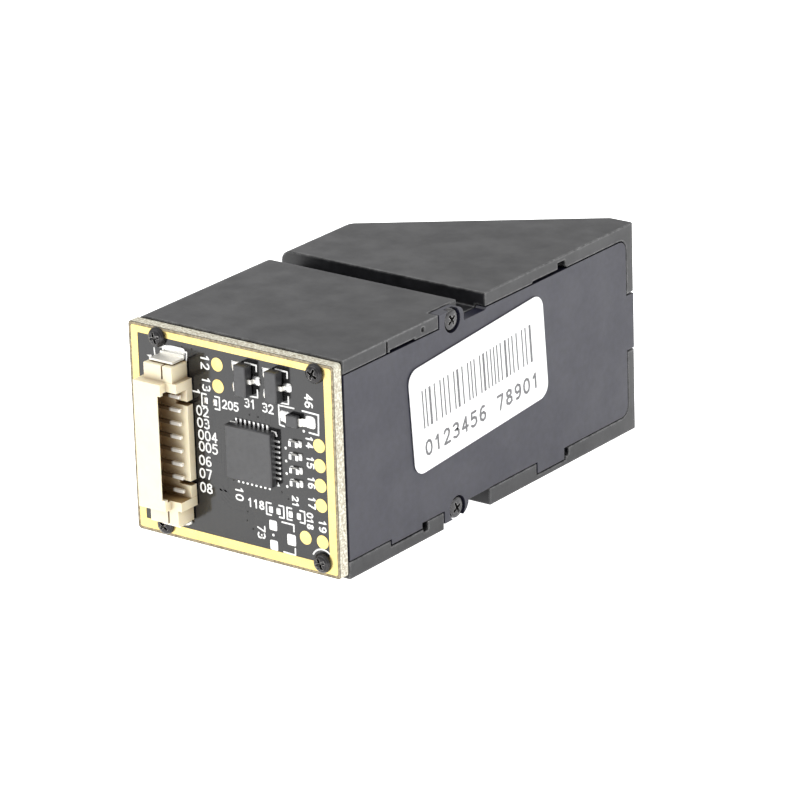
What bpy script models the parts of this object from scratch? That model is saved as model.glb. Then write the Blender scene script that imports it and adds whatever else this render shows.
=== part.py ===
"""Prism-type optical fingerprint reader module, lying on its long side.

The moulded body has two blocks joined by a narrower neck, so that a groove runs
round it for a panel edge. A slanted window face holds a right-angle prism behind a
touch ring. The circuit board closes the rear end and a flat cover closes the long
side at +X. Inside are the lens over the image sensor and a lamp board that lights
the prism through a diffuser.

Lengths are in millimetres in the module's own frame: X from the left side to the
cover side (22), Y from the body's rear end (0) to the window end, Z from the rest
plane (0) upwards. MM turns them into metres, and the module_frame empty moves the
centre of the footprint to the world origin.
"""

import math

import bmesh
import bpy
from mathutils import Matrix, Vector

MM = 0.001

# Moulded body
BODY_X0 = -0.75
BODY_X1 = 22.0
BODY_H = 20.0
BODY_L = 43.6
REAR_L = 17.87
GROOVE_W = 2.7
GROOVE_DEPTH = 1.5
SLANT_START = 29.8
TIP_W = 2.52
SIDE_WALL = 1.2
END_WALL = 2.0
NECK_WALL = 1.0
NECK_LAP = 0.6
REAR_CORNERS = (0.5, 0.0, 0.0, 0.2)
FRONT_CORNERS = (0.2, 0.0, 0.25, 0.5, 0.8)
SIDE_R = 1.15
ROOM_Z0 = 2.4
ROOM_Z1 = 17.6

# Clearance between neighbours that touch on the real module, and how far cutters run past a face
GAP = 0.1
SKIN_GAP = 0.05
OVERSHOOT = 1.0

# Side cover, flush in a pocket of the housing, with two screw tabs and snap tongues
COVER_T = 1.07
COVER_Y0 = 0.08
COVER_Y1 = 42.35
COVER_Z0 = 1.7
COVER_Z1 = 18.65
COVER_CORNER = 1.0
TAB_Y0 = 13.8
TAB_Y1 = 17.4
TAB_TOP = 19.95
TAB_BOTTOM = 0.5
NOTCH_Y0 = 13.65
NOTCH_Y1 = 18.77
SNAP_TIP = 0.62
SNAP_Y = (27.9, 32.1)
REAR_SNAP_TIP = 1.2
REAR_SNAP_Y = (6.05, 10.5)
HOOK_Z = (7.95, 13.25)
RIB_X0 = 19.75
RIB_Z = (4.0, 16.0)
RIB_YS = (31.0, 39.0)

# Slits and snap pockets in the housing's long edges beside the cover: spans in Y and Z
EDGE_MARKS = (
    ("slit_top", (6.15, 6.4), (18.6, 19.8)),
    ("gap_top_rear", (6.65, 10.3), (18.6, 18.92)),
    ("gap_top_front", (27.75, 33.0), (18.6, 18.92)),
    ("pocket_top_front", (31.65, 32.8), (18.8, 19.5)),
    ("snap_bottom_rear", (5.9, 11.35), (1.05, 1.8)),
    ("pocket_bottom_rear", (10.65, 11.35), (0.8, 1.7)),
    ("snap_bottom_front", (27.75, 32.35), (0.5, 1.8)),
    ("pocket_bottom_front", (32.2, 32.8), (0.85, 1.7)),
)
EDGE_MARK_DEPTH = 1.4
SINK_MARK = ((11.4, 19.38), 0.22)

# Cover screws: (Z, turn of the cross in degrees)
COVER_SCREW_Y = 15.7
COVER_SCREWS = {"top": (18.95, 35), "bottom": (1.4, 28)}
SINK_DEPTH = 0.55
SINK_R = 1.15
CLEARANCE_R = 0.7
PILOT_R = 0.65
COVER_PILOT_X = (15.5, 21.5)
BOARD_PILOT_DEPTH = 6.5

# Circuit board at the rear end
BOARD_X0 = -0.65
BOARD_X1 = 21.85
BOARD_Z0 = 0.32
BOARD_Z1 = 19.8
BOARD_T = 1.0
BOARD_BACK = -0.1
BOARD_FACE = BOARD_BACK - BOARD_T
BOARD_CORNER = 0.3
BOARD_HOLE_R = 0.62
# Board screws: (X, Z, turn of the cross in degrees)
BOARD_SCREWS = ((2.65, 18.85, 20), (19.9, 18.85, 65), (20.0, 1.55, 25), (2.65, 1.4, 50))

# Screw heads: (radius, height) from the top down
COVER_SCREW_HEAD = [(0.86, 0.45), (1.0, 0.32), (1.0, 0.0)]
BOARD_SCREW_HEAD = [(0.5, 0.52), (0.8, 0.4), (0.9, 0.18), (0.9, 0.0)]
CROSS_W = 0.3

# Eight-way wire connector
CONTACT_PITCH = 1.25
CONTACTS = 8
CONN_MID_Z = 9.925
CONN_HALF_L = 5.875
CONN_EAR_HALF_L = 7.35
CONN_X0 = 2.2
CONN_X1 = 6.33
CONN_WALL_X1 = 5.2
CONN_FRONT = -4.2
CONN_SHROUD = -3.4
CONN_FLOOR = -1.95
CHEEK_T = 0.825
CAVITY_X0 = 3.3
CAVITY_FRONT = -3.85
CAVITY_HALF_L = 5.05
LIP_X = 4.85
LIP_LAND = 0.08
LIP_SLANT = 0.3
LIP_HALF_L = 4.82
EAR_X = (2.8, 5.9)
SLIT_X = (4.72, 4.9)
SLIT_BACK = -2.3
KEY_OFFSET = 3.7
KEY_W = 0.4
KEY_X0 = 5.0
KEY_BACK = -1.0

# Contacts: a strip through the wall, a step down and a solder tail
PIN_Y0 = -2.55
PIN_Y1 = -2.25
PIN_HALF = 0.16
PIN_TIP_X = 5.9
PIN_STEP_X = (1.72, 2.02)
PIN_TAIL_X = 0.75
PIN_TAIL_T = 0.22
CHANNEL_GAP = 0.08
CLIP_T = 0.2
CLIP_FOOT = 0.4
CLIP_X1 = 5.65

# Parts on the board's outer face: name, middle (X, Z), size (X, Z, height)
CHIPS = (
    ("controller_chip", (12.8, 10.1), (5.0, 5.0, 0.8)),
    ("transistor_1", (12.35, 16.9), (1.3, 2.9, 1.0)),
    ("transistor_2", (15.7, 16.95), (1.3, 2.9, 1.0)),
    ("diode", (17.5, 14.12), (1.25, 1.15, 0.55)),
)
CHIP_CHAMFER = 0.08
RESISTOR_X = 17.45
RESISTOR_ZS = (12.0, 10.8, 9.55, 8.35)
RESISTOR_SIZE = (1.0, 0.5, 0.35)

# Window prism, its long face looking out of the slanted wall, and the touch ring round it
PRISM_FACE = 17.0
PRISM_H = 15.0
PRISM_RECESS = 0.5
WINDOW_MARGIN = 0.3
WINDOW_DEPTH = 3.2
RING_OUTER = (19.3, 17.1)
RING_OPENING = (15.6, 13.4)
RING_T = 0.35

# Camera side, on the board's inner face
LENS_X = 8.5
LENS_Y = 6.6
LENS_Z = 10.0
LENS_BULGE = 0.7
LENS_EDGE = 0.35
HOLDER_HALF = 4.6
HOLDER_FLANGE = 2.6
HOLDER_L = 8.2
BARREL_R = 3.4
BARREL_BORE_R = 2.3
SENSOR_W = 5.4
SENSOR_ROOM_W = 5.9
SENSOR_ROOM_D = 1.7
FILTER_W = 5.6
FILTER_Y = (0.95, 1.4)

# Lamp side, beside the prism: spans in X, Y and Z
LAMP_BOARD_X = (18.85, 19.65)
LAMP_BOARD_Y = (28.8, 41.0)
LAMP_BOARD_Z = (3.5, 16.5)
LAMP_X = (18.1, 18.8)
LAMP_YS = (31.5, 38.0)
LAMP_ZS = (6.5, 13.5)
LAMP_SIZE = (1.6, 1.2)
DIFFUSER_X = (17.2, 17.8)
DIFFUSER_Y = (28.8, 40.0)
DIFFUSER_Z = (3.0, 17.0)
CABLE_ROUTE = ((18.9, 0.1), (18.9, 2.2), (20.2, 4.4), (20.2, 25.4), (19.25, 27.2), (19.25, 28.6))
CABLE_T = 0.15
CABLE_Z = (8.0, 12.0)

# Label on the cover
LABEL_W = 20.1
LABEL_H = 9.9
LABEL_T = 0.1
LABEL_X0 = BODY_X1 + SKIN_GAP
LABEL_MID = (19.3, 11.9)
LABEL_CORNER = 1.3
LABEL_TURN = math.radians(4.2)

# Footprint, for the origin
FOOT_X = (BODY_X0 + LABEL_X0 + LABEL_T) / 2
FOOT_Y = (CONN_FRONT + BODY_L) / 2

for stale in list(bpy.data.objects):
    bpy.data.objects.remove(stale, do_unlink=True)

scene = bpy.context.scene
module_frame = bpy.data.objects.new("module_frame", None)
module_frame.location = (-FOOT_X * MM, -FOOT_Y * MM, 0.0)
scene.collection.objects.link(module_frame)


def material(name, colour, roughness, metallic=0.0):
    made = bpy.data.materials.new(name)
    made.use_nodes = True
    shader = made.node_tree.nodes["Principled BSDF"]
    shader.inputs["Base Color"].default_value = (*colour, 1.0)
    shader.inputs["Roughness"].default_value = roughness
    shader.inputs["Metallic"].default_value = metallic
    return made


BLACK_ABS = material("black_abs", (0.045, 0.045, 0.05), 0.45)
COVER_ABS = material("cover_abs", (0.05, 0.05, 0.055), 0.5)
SOLDER_MASK = material("black_solder_mask", (0.03, 0.03, 0.032), 0.4)
IVORY = material("ivory_nylon", (0.83, 0.78, 0.62), 0.4)
TINNED = material("tinned_brass", (0.8, 0.72, 0.55), 0.3, 1.0)
SCREW_BLACK = material("black_zinc_screw", (0.09, 0.09, 0.1), 0.3, 0.9)
CHIP_EPOXY = material("chip_epoxy", (0.035, 0.035, 0.037), 0.5)
CHIP_CERAMIC = material("chip_ceramic", (0.55, 0.5, 0.42), 0.5)
PAPER = material("label_paper", (0.85, 0.85, 0.86), 0.55)
GLASS = material("prism_glass", (0.75, 0.85, 0.9), 0.03)
LENS_GLASS = material("lens_glass", (0.7, 0.8, 0.85), 0.03)
FILTER_GLASS = material("filter_glass", (0.35, 0.6, 0.55), 0.05)
HOLDER_ABS = material("holder_abs", (0.02, 0.02, 0.02), 0.7)
RING_STEEL = material("ring_steel", (0.55, 0.56, 0.58), 0.25, 1.0)
LAMP_BOARD = material("lamp_board", (0.75, 0.75, 0.72), 0.5)
LAMP_EPOXY = material("lamp_epoxy", (0.8, 0.8, 0.6), 0.3)
MILKY = material("milky_acrylic", (0.85, 0.87, 0.9), 0.4)
CRYSTAL_CAN = material("crystal_can", (0.65, 0.66, 0.68), 0.25, 1.0)
POLYIMIDE = material("polyimide", (0.55, 0.27, 0.05), 0.35)


def rounded(points, radii, steps=5):
    """The outline of straight edges through 2-D points, with an arc where a corner has a radius."""
    outline = []
    count = len(points)
    for index in range(count):
        here = Vector(points[index])
        radius = radii[index]
        if radius <= 0.0:
            outline.append(here)
            continue
        back = (Vector(points[index - 1]) - here).normalized()
        ahead = (Vector(points[(index + 1) % count]) - here).normalized()
        half = back.angle(ahead) / 2
        middle = here + (back + ahead).normalized() * radius / math.sin(half)
        start = here + back * radius / math.tan(half) - middle
        end = here + ahead * radius / math.tan(half) - middle
        turn = start.angle_signed(end)
        for step in range(steps + 1):
            angle = -turn * step / steps
            cosine = math.cos(angle)
            sine = math.sin(angle)
            turned = (start.x * cosine - start.y * sine, start.x * sine + start.y * cosine)
            outline.append(middle + Vector(turned))
    return outline


def rectangle(low, high):
    return [(low[0], low[1]), (high[0], low[1]), (high[0], high[1]), (low[0], high[1])]


def centred(middle, size):
    """The rectangle of this size about its middle."""
    half = (size[0] / 2, size[1] / 2)
    low = (middle[0] - half[0], middle[1] - half[1])
    return rectangle(low, (middle[0] + half[0], middle[1] + half[1]))


def circle(middle, radius, segments=16):
    turns = [math.tau * step / segments for step in range(segments)]
    return [(middle[0] + radius * math.cos(turn), middle[1] + radius * math.sin(turn)) for turn in turns]


def place(name, mesh, paint, location, rotation=(0.0, 0.0, 0.0)):
    """A new object of this mesh in the module's frame, with its location in millimetres."""
    made = bpy.data.objects.new(name, mesh)
    made.parent = module_frame
    made.location = Vector(location) * MM
    made.rotation_euler = rotation
    if paint is not None and not mesh.materials:
        mesh.materials.append(paint)
    scene.collection.objects.link(made)
    return made


def extruded(name, outline, axis, start, end, paint=None, turn=0.0):
    """A solid from a 2-D outline pushed along X (outline in Y, Z), Y (X, Z) or Z (X, Y)."""
    spans = [(min(p[i] for p in outline), max(p[i] for p in outline)) for i in (0, 1)]
    middle = Vector([(low + high) / 2 for low, high in spans])
    depth = (start + end) / 2
    axes = {"X": (1, 2, 0), "Y": (0, 2, 1), "Z": (0, 1, 2)}[axis]
    bm = bmesh.new()
    rings = []
    for level in (start, end):
        ring = []
        for point in outline:
            spot = [0.0, 0.0, 0.0]
            spot[axes[0]] = (point[0] - middle[0]) * MM
            spot[axes[1]] = (point[1] - middle[1]) * MM
            spot[axes[2]] = (level - depth) * MM
            ring.append(bm.verts.new(spot))
        rings.append(ring)
    bm.faces.new(rings[0])
    bm.faces.new(rings[1])
    for index in range(len(outline)):
        ahead = (index + 1) % len(outline)
        bm.faces.new((rings[0][index], rings[0][ahead], rings[1][ahead], rings[1][index]))
    bmesh.ops.recalc_face_normals(bm, faces=bm.faces)
    mesh = bpy.data.meshes.new(name)
    bm.to_mesh(mesh)
    bm.free()
    location = [0.0, 0.0, 0.0]
    location[axes[0]] = middle[0]
    location[axes[1]] = middle[1]
    location[axes[2]] = depth
    rotation = [0.0, 0.0, 0.0]
    rotation[axes[2]] = turn
    return place(name, mesh, paint, location, rotation)


def block(name, low, high, paint=None):
    return extruded(name, rectangle(low[:2], high[:2]), "Z", low[2], high[2], paint)


def turned_mesh(name, profile, segments):
    """A turned solid about Z, its profile of (radius, height) running from top centre to bottom centre."""
    bm = bmesh.new()
    rings = []
    for radius, height in profile:
        if radius == 0.0:
            rings.append([bm.verts.new((0.0, 0.0, height * MM))])
            continue
        ring = []
        for step in range(segments):
            angle = math.tau * step / segments
            spot = (radius * math.cos(angle), radius * math.sin(angle), height)
            ring.append(bm.verts.new([value * MM for value in spot]))
        rings.append(ring)
    for upper, lower in zip(rings, rings[1:]):
        for step in range(segments):
            ahead = (step + 1) % segments
            corners = [upper[step % len(upper)], lower[step % len(lower)], lower[ahead % len(lower)]]
            corners.append(upper[ahead % len(upper)])
            bm.faces.new(list(dict.fromkeys(corners)))
    bmesh.ops.recalc_face_normals(bm, faces=bm.faces)
    mesh = bpy.data.meshes.new(name)
    bm.to_mesh(mesh)
    bm.free()
    mesh.shade_smooth()
    mesh.set_sharp_from_angle(angle=math.radians(35))
    return mesh


def as_cutter(tool):
    tool.hide_render = True
    tool.display_type = "WIRE"


def combine(target, tool, operation):
    step = target.modifiers.new(tool.name, "BOOLEAN")
    step.operation = operation
    step.solver = "EXACT"
    step.object = tool
    as_cutter(tool)


def cut(target, tool):
    combine(target, tool, "DIFFERENCE")


def join(target, tool):
    combine(target, tool, "UNION")


def offset_inwards(points, distances):
    """The outline with each edge moved in by its own distance; the points run anticlockwise."""
    moved = []
    count = len(points)
    for index in range(count):
        before = Vector(points[index - 1])
        here = Vector(points[index])
        after = Vector(points[(index + 1) % count])
        first = (here - before).normalized()
        second = (after - here).normalized()
        n1 = Vector((-first.y, first.x))
        n2 = Vector((-second.y, second.x))
        d1 = distances[index - 1]
        d2 = distances[index]
        det = n1.x * n2.y - n1.y * n2.x
        x = (d1 * n2.y - d2 * n1.y) / det
        y = (n1.x * d2 - n2.x * d1) / det
        moved.append((here.x + x, here.y + y))
    return moved


# Slanted window face: where it runs and its outward normal
slant_from = Vector((0.0, SLANT_START))
slant_to = Vector((BODY_X1 - TIP_W, BODY_L))
slant_run = (slant_to - slant_from).normalized()
slant_out = Vector((-slant_run.y, slant_run.x))
slant_mid = (slant_from + slant_to) / 2


def slant_plate(name, width, height, outer, inner, paint=None):
    """A plate parallel to the window face, between two depths under it."""
    corners = []
    for along, depth in ((-width / 2, outer), (width / 2, outer), (width / 2, inner), (-width / 2, inner)):
        corners.append(slant_mid + slant_run * along - slant_out * depth)
    low = BODY_H / 2 - height / 2
    return extruded(name, corners, "Z", low, low + height, paint)


# ---------------------------------------------------------------- housing
front_y0 = REAR_L + GROOVE_W
rear_plan = rectangle((BODY_X0, 0.0), (BODY_X1, REAR_L))
slant_end = slant_from + slant_run * (BODY_X0 / slant_run.x)
front_plan = [(BODY_X0, front_y0), (BODY_X1, front_y0), (BODY_X1, BODY_L), tuple(slant_to), tuple(slant_end)]
cover_inner = BODY_X1 - COVER_T
pocket_x = cover_inner - GAP

housing = extruded("housing", rounded(rear_plan, REAR_CORNERS), "Z", 0.0, BODY_H, BLACK_ABS)
front_block = extruded("front_block", rounded(front_plan, FRONT_CORNERS), "Z", 0.0, BODY_H)
join(housing, front_block)
neck = block(
    "neck",
    (BODY_X0 + GROOVE_DEPTH, REAR_L - NECK_LAP, GROOVE_DEPTH),
    (pocket_x, front_y0 + NECK_LAP, BODY_H - GROOVE_DEPTH),
)
join(housing, neck)

# The two long edges of the left side are rounded
side_round = circle((0.0, 0.0), SIDE_R, 24)[6:13]
for name, sign, level in (("top_round", 1, BODY_H - SIDE_R), ("bottom_round", -1, SIDE_R)):
    corner = [(BODY_X0 + SIDE_R + x, level + sign * z) for x, z in side_round]
    corner += [
        (BODY_X0 - OVERSHOOT, level),
        (BODY_X0 - OVERSHOOT, level + sign * (SIDE_R + OVERSHOOT)),
        (BODY_X0 + SIDE_R, level + sign * (SIDE_R + OVERSHOOT)),
    ]
    cut(housing, extruded(name, corner, "Y", -OVERSHOOT, BODY_L))

room_low = (SIDE_WALL, -OVERSHOOT, ROOM_Z0)
room_high = (pocket_x + OVERSHOOT, REAR_L - SIDE_WALL, ROOM_Z1)
cut(housing, block("rear_room", room_low, room_high))
room_walls = (SIDE_WALL, -OVERSHOOT, END_WALL, SIDE_WALL, SIDE_WALL - BODY_X0)
front_room = extruded("front_room", offset_inwards(front_plan, room_walls), "Z", ROOM_Z0, ROOM_Z1)
cut(housing, front_room)
neck_in = GROOVE_DEPTH + NECK_WALL
neck_low = (neck_in, REAR_L - 2 * SIDE_WALL, neck_in)
neck_high = (pocket_x + OVERSHOOT, front_y0 + 2 * SIDE_WALL, BODY_H - neck_in)
cut(housing, block("neck_room", neck_low, neck_high))

pocket_outline = rounded(
    rectangle((-OVERSHOOT, COVER_Z0 - GAP), (COVER_Y1 + GAP, COVER_Z1 + GAP)),
    (0.0, COVER_CORNER + GAP, COVER_CORNER + GAP, 0.0),
)
cut(housing, extruded("cover_pocket", pocket_outline, "X", pocket_x, BODY_X1 + OVERSHOOT))
notches = (
    ("tab_notch_top", COVER_Z1 - 0.2, BODY_H + OVERSHOOT),
    ("tab_notch_bottom", -OVERSHOOT, COVER_Z0 + 0.2),
)
for name, z0, z1 in notches:
    cut(housing, block(name, (pocket_x, NOTCH_Y0, z0), (BODY_X1 + OVERSHOOT, NOTCH_Y1, z1)))
for index, (x, z, _) in enumerate(BOARD_SCREWS):
    hole = circle((x, z), PILOT_R)
    cut(housing, extruded(f"board_pilot_{index + 1}", hole, "Y", -OVERSHOOT, BOARD_PILOT_DEPTH))
for end, (z, _) in COVER_SCREWS.items():
    hole = circle((COVER_SCREW_Y, z), PILOT_R)
    cut(housing, extruded(f"cover_pilot_{end}", hole, "X", *COVER_PILOT_X))

for name, span_y, span_z in EDGE_MARKS:
    deep = (BODY_X1 - EDGE_MARK_DEPTH, span_y[0], span_z[0])
    cut(housing, block(name, deep, (BODY_X1 + OVERSHOOT, span_y[1], span_z[1])))
hook_low = (pocket_x, COVER_Y1 - 0.8, HOOK_Z[0] - 0.15)
hook_high = (BODY_X1 + OVERSHOOT, BODY_L + OVERSHOOT, HOOK_Z[1] + 0.15)
cut(housing, block("hook_notch", hook_low, hook_high))
cut(housing, extruded("sink_mark", circle(*SINK_MARK, 12), "X", BODY_X1 - 0.3, BODY_X1 + 0.3))

# Window opening with a rebate for the touch ring
rebate = (RING_OUTER[0] + 2 * GAP, RING_OUTER[1] + 2 * GAP)
opening = (PRISM_FACE + WINDOW_MARGIN, PRISM_H + WINDOW_MARGIN)
cut(housing, slant_plate("ring_rebate", *rebate, -OVERSHOOT, RING_T + SKIN_GAP))
cut(housing, slant_plate("window_opening", *opening, -OVERSHOOT, WINDOW_DEPTH))

# ---------------------------------------------------------------- side cover
# Its edge dips where it crosses the groove, so that the panel edge can pass
dip_top = BODY_H - GROOVE_DEPTH - 0.05
dip_low = GROOVE_DEPTH + 0.15
cover_points = [
    (COVER_Y0, COVER_Z0, 0.0),
    (REAR_SNAP_Y[0], COVER_Z0, 0.0),
    (REAR_SNAP_Y[0], REAR_SNAP_TIP, 0.0),
    (REAR_SNAP_Y[1], REAR_SNAP_TIP, 0.0),
    (REAR_SNAP_Y[1], COVER_Z0, 0.0),
    (TAB_Y0, COVER_Z0, 0.0),
    (TAB_Y0, TAB_BOTTOM, 0.0),
    (TAB_Y1, TAB_BOTTOM, 1.25),
    (TAB_Y1, dip_low, 0.0),
    (front_y0 - 0.05, dip_low, 0.0),
    (front_y0 + 0.1, COVER_Z0, 0.0),
    (SNAP_Y[0], COVER_Z0, 0.0),
    (SNAP_Y[0], SNAP_TIP, 0.0),
    (SNAP_Y[1], SNAP_TIP, 0.0),
    (SNAP_Y[1], COVER_Z0, 0.0),
    (COVER_Y1, COVER_Z0, COVER_CORNER),
    (COVER_Y1, HOOK_Z[0], 0.0),
    (BODY_L - GAP, HOOK_Z[0], 0.0),
    (BODY_L - GAP, HOOK_Z[1], 0.0),
    (COVER_Y1, HOOK_Z[1], 0.0),
    (COVER_Y1, COVER_Z1, COVER_CORNER),
    (front_y0 + 0.1, COVER_Z1, 0.0),
    (front_y0 - 0.05, dip_top, 0.0),
    (TAB_Y1, dip_top, 0.0),
    (TAB_Y1, TAB_TOP, 1.0),
    (TAB_Y0, TAB_TOP, 0.0),
    (TAB_Y0, COVER_Z1, 0.0),
    (COVER_Y0, COVER_Z1, 0.0),
]
cover_outline = rounded([p[:2] for p in cover_points], [p[2] for p in cover_points])
side_cover = extruded("side_cover", cover_outline, "X", cover_inner, BODY_X1, COVER_ABS)
for index, y in enumerate(RIB_YS):
    rib_low = (RIB_X0, y - 0.5, RIB_Z[0])
    rib_high = (cover_inner + 0.4, y + 0.5, RIB_Z[1])
    join(side_cover, block(f"lamp_rib_{index + 1}", rib_low, rib_high))
for end, (z, _) in COVER_SCREWS.items():
    sink = circle((COVER_SCREW_Y, z), SINK_R, 24)
    clearance = circle((COVER_SCREW_Y, z), CLEARANCE_R)
    cut(side_cover, extruded(f"counterbore_{end}", sink, "X", BODY_X1 - SINK_DEPTH, BODY_X1 + OVERSHOOT))
    cut(side_cover, extruded(f"clearance_{end}", clearance, "X", cover_inner - 1, BODY_X1 + OVERSHOOT))

# ---------------------------------------------------------------- screws


def screw_mesh(name, head, shank_radius, shank_length, cross, cross_depth):
    """A cross-head screw along Z, its head's underside at height 0 and its shank below."""
    top = head[0][1]
    tip_radius = 0.3
    tip_length = 0.4
    profile = [(0.0, top)]
    profile += head
    profile += [(shank_radius, 0.0), (shank_radius, tip_length - shank_length)]
    profile += [(tip_radius, -shank_length), (0.0, -shank_length)]
    blank = place(name, turned_mesh(name, profile, 20), SCREW_BLACK, (0.0, 0.0, 0.0))
    slot = centred((0.0, 0.0), (2 * cross, CROSS_W))
    for turn in (0.0, math.pi / 2):
        cut(blank, extruded(f"{name}_cross", slot, "Z", top - cross_depth, top + 0.5, turn=turn))
    bpy.context.view_layer.update()
    depsgraph = bpy.context.evaluated_depsgraph_get()
    finished = bpy.data.meshes.new_from_object(blank.evaluated_get(depsgraph))
    for wing in [step.object for step in blank.modifiers]:
        bpy.data.objects.remove(wing, do_unlink=True)
    bpy.data.objects.remove(blank, do_unlink=True)
    finished.name = name
    return finished


cover_screw_mesh = screw_mesh("cover_screw", COVER_SCREW_HEAD, 0.55, 4.2, 0.72, 0.3)
board_screw_mesh = screw_mesh("board_screw", BOARD_SCREW_HEAD, 0.5, 5.0, 0.6, 0.28)


def drive(name, mesh, location, axis, turn):
    """A screw whose head faces along the axis, turned about its own shank."""
    facing = {"X": Vector((1, 0, 0)), "-Y": Vector((0, -1, 0))}[axis]
    aimed = facing.to_track_quat("Z", "Y").to_matrix()
    place(name, mesh, None, location, (aimed @ Matrix.Rotation(turn, 3, "Z")).to_euler())


head_seat = BODY_X1 - SINK_DEPTH + SKIN_GAP
for end, (z, degrees) in COVER_SCREWS.items():
    spot = (head_seat, COVER_SCREW_Y, z)
    drive(f"cover_screw_{end}", cover_screw_mesh, spot, "X", math.radians(degrees))
for index, (x, z, degrees) in enumerate(BOARD_SCREWS):
    spot = (x, BOARD_FACE - SKIN_GAP, z)
    drive(f"board_screw_{index + 1}", board_screw_mesh, spot, "-Y", math.radians(degrees))

# ---------------------------------------------------------------- circuit board
board_outline = rounded(rectangle((BOARD_X0, BOARD_Z0), (BOARD_X1, BOARD_Z1)), (BOARD_CORNER,) * 4, 3)
circuit_board = extruded("circuit_board", board_outline, "Y", BOARD_FACE, BOARD_BACK, SOLDER_MASK)
for index, (x, z, _) in enumerate(BOARD_SCREWS):
    hole = circle((x, z), BOARD_HOLE_R)
    cut(circuit_board, extruded(f"board_hole_{index + 1}", hole, "Y", BOARD_FACE - 1, BOARD_BACK + 1))

# ---------------------------------------------------------------- wire connector
conn_base = BOARD_FACE - GAP
z_low = CONN_MID_Z - CONN_HALF_L
z_high = CONN_MID_Z + CONN_HALF_L
# Section in X, Y: the block that holds the contacts, then the floor under them
section = [
    (CONN_X0, conn_base),
    (CONN_X0, CONN_FRONT),
    (CONN_WALL_X1, CONN_FRONT),
    (CONN_WALL_X1, CONN_FLOOR),
    (CONN_X1, CONN_FLOOR),
    (CONN_X1, conn_base),
]
connector_housing = extruded("connector_housing", section, "Z", z_low, z_high, IVORY)
for index, (z0, z1) in enumerate(((z_low - 0.02, z_low + CHEEK_T), (z_high - CHEEK_T, z_high + 0.02))):
    cheek = block(
        f"connector_cheek_{index + 1}",
        (CONN_X0 + 0.4, CONN_SHROUD, z0),
        (CONN_X1 + 0.02, conn_base - 0.02, z1),
    )
    join(connector_housing, cheek)
for index, side in enumerate((-1, 1)):
    ends = sorted((CONN_MID_Z + side * (CONN_HALF_L - 0.5), CONN_MID_Z + side * CONN_EAR_HALF_L))
    ear_low = (EAR_X[0], CONN_SHROUD + 0.03, ends[0])
    ear_high = (EAR_X[1], conn_base - 0.04, ends[1])
    join(connector_housing, block(f"connector_ear_{index + 1}", ear_low, ear_high))
    slit = sorted((CONN_MID_Z + side * (CONN_HALF_L + 0.25), CONN_MID_Z + side * (CONN_EAR_HALF_L + 0.5)))
    slit_low = (SLIT_X[0], CONN_SHROUD - 1, slit[0])
    slit_high = (SLIT_X[1], SLIT_BACK, slit[1])
    cut(connector_housing, block(f"ear_slit_{index + 1}", slit_low, slit_high))
    z = CONN_MID_Z + side * KEY_OFFSET
    key_low = (KEY_X0, CONN_FLOOR - 1, z - KEY_W / 2)
    key_high = (CONN_X1 + 1, KEY_BACK, z + KEY_W / 2)
    cut(connector_housing, block(f"key_slot_{index + 1}", key_low, key_high))
# The mouth that the plug enters from the right, and the shorter lip of its front wall
mouth_low = (CAVITY_X0, CAVITY_FRONT, CONN_MID_Z - CAVITY_HALF_L)
mouth_high = (CONN_X1 + 1, CONN_FLOOR, CONN_MID_Z + CAVITY_HALF_L)
cut(connector_housing, block("connector_mouth", mouth_low, mouth_high))
lip_section = [
    (LIP_X - LIP_SLANT, CAVITY_FRONT - 0.02),
    (LIP_X - LIP_SLANT, CAVITY_FRONT + 0.02),
    (CONN_X1 + 1, CAVITY_FRONT + 0.02),
    (CONN_X1 + 1, CONN_FRONT - 1),
    (LIP_X, CONN_FRONT - 1),
    (LIP_X, CONN_FRONT + LIP_LAND),
]
lip_ends = (CONN_MID_Z - LIP_HALF_L, CONN_MID_Z + LIP_HALF_L)
cut(connector_housing, extruded("connector_lip", lip_section, "Z", *lip_ends))

# Each contact lies in a channel through the block and steps down to its solder tail
pin_section = [
    (PIN_TIP_X, PIN_Y0),
    (PIN_TIP_X, PIN_Y1),
    (PIN_STEP_X[1], PIN_Y1),
    (PIN_STEP_X[1], conn_base),
    (PIN_TAIL_X, conn_base),
    (PIN_TAIL_X, conn_base - PIN_TAIL_T),
    (PIN_STEP_X[0], conn_base - PIN_TAIL_T),
    (PIN_STEP_X[0], PIN_Y0),
]
first_z = CONN_MID_Z + CONTACT_PITCH * (CONTACTS - 1) / 2
for index in range(CONTACTS):
    z = first_z - CONTACT_PITCH * index
    bore = block(
        f"contact_channel_{index + 1}",
        (CONN_X0 - 1, PIN_Y0 - CHANNEL_GAP, z - PIN_HALF - CHANNEL_GAP),
        (CAVITY_X0 + 1, PIN_Y1 + CHANNEL_GAP, z + PIN_HALF + CHANNEL_GAP),
    )
    cut(connector_housing, bore)
    extruded(f"contact_{index + 1}", pin_section, "Z", z - PIN_HALF, z + PIN_HALF, TINNED)

# Solder clips that hold the two ends of the connector to the board
for index, (side, clip_x0) in enumerate(((-1, 3.75), (1, 3.05))):
    end = CONN_MID_Z + side * (CONN_EAR_HALF_L + GAP)
    away = end + side * CLIP_FOOT
    clip_section = [
        (conn_base, end),
        (conn_base, away),
        (conn_base - CLIP_T, away),
        (conn_base - CLIP_T, end + side * CLIP_T),
        (CONN_SHROUD + 0.5, end + side * CLIP_T),
        (CONN_SHROUD + 0.5, end),
    ]
    extruded(f"solder_clip_{index + 1}", clip_section, "X", clip_x0, CLIP_X1, TINNED)

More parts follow.
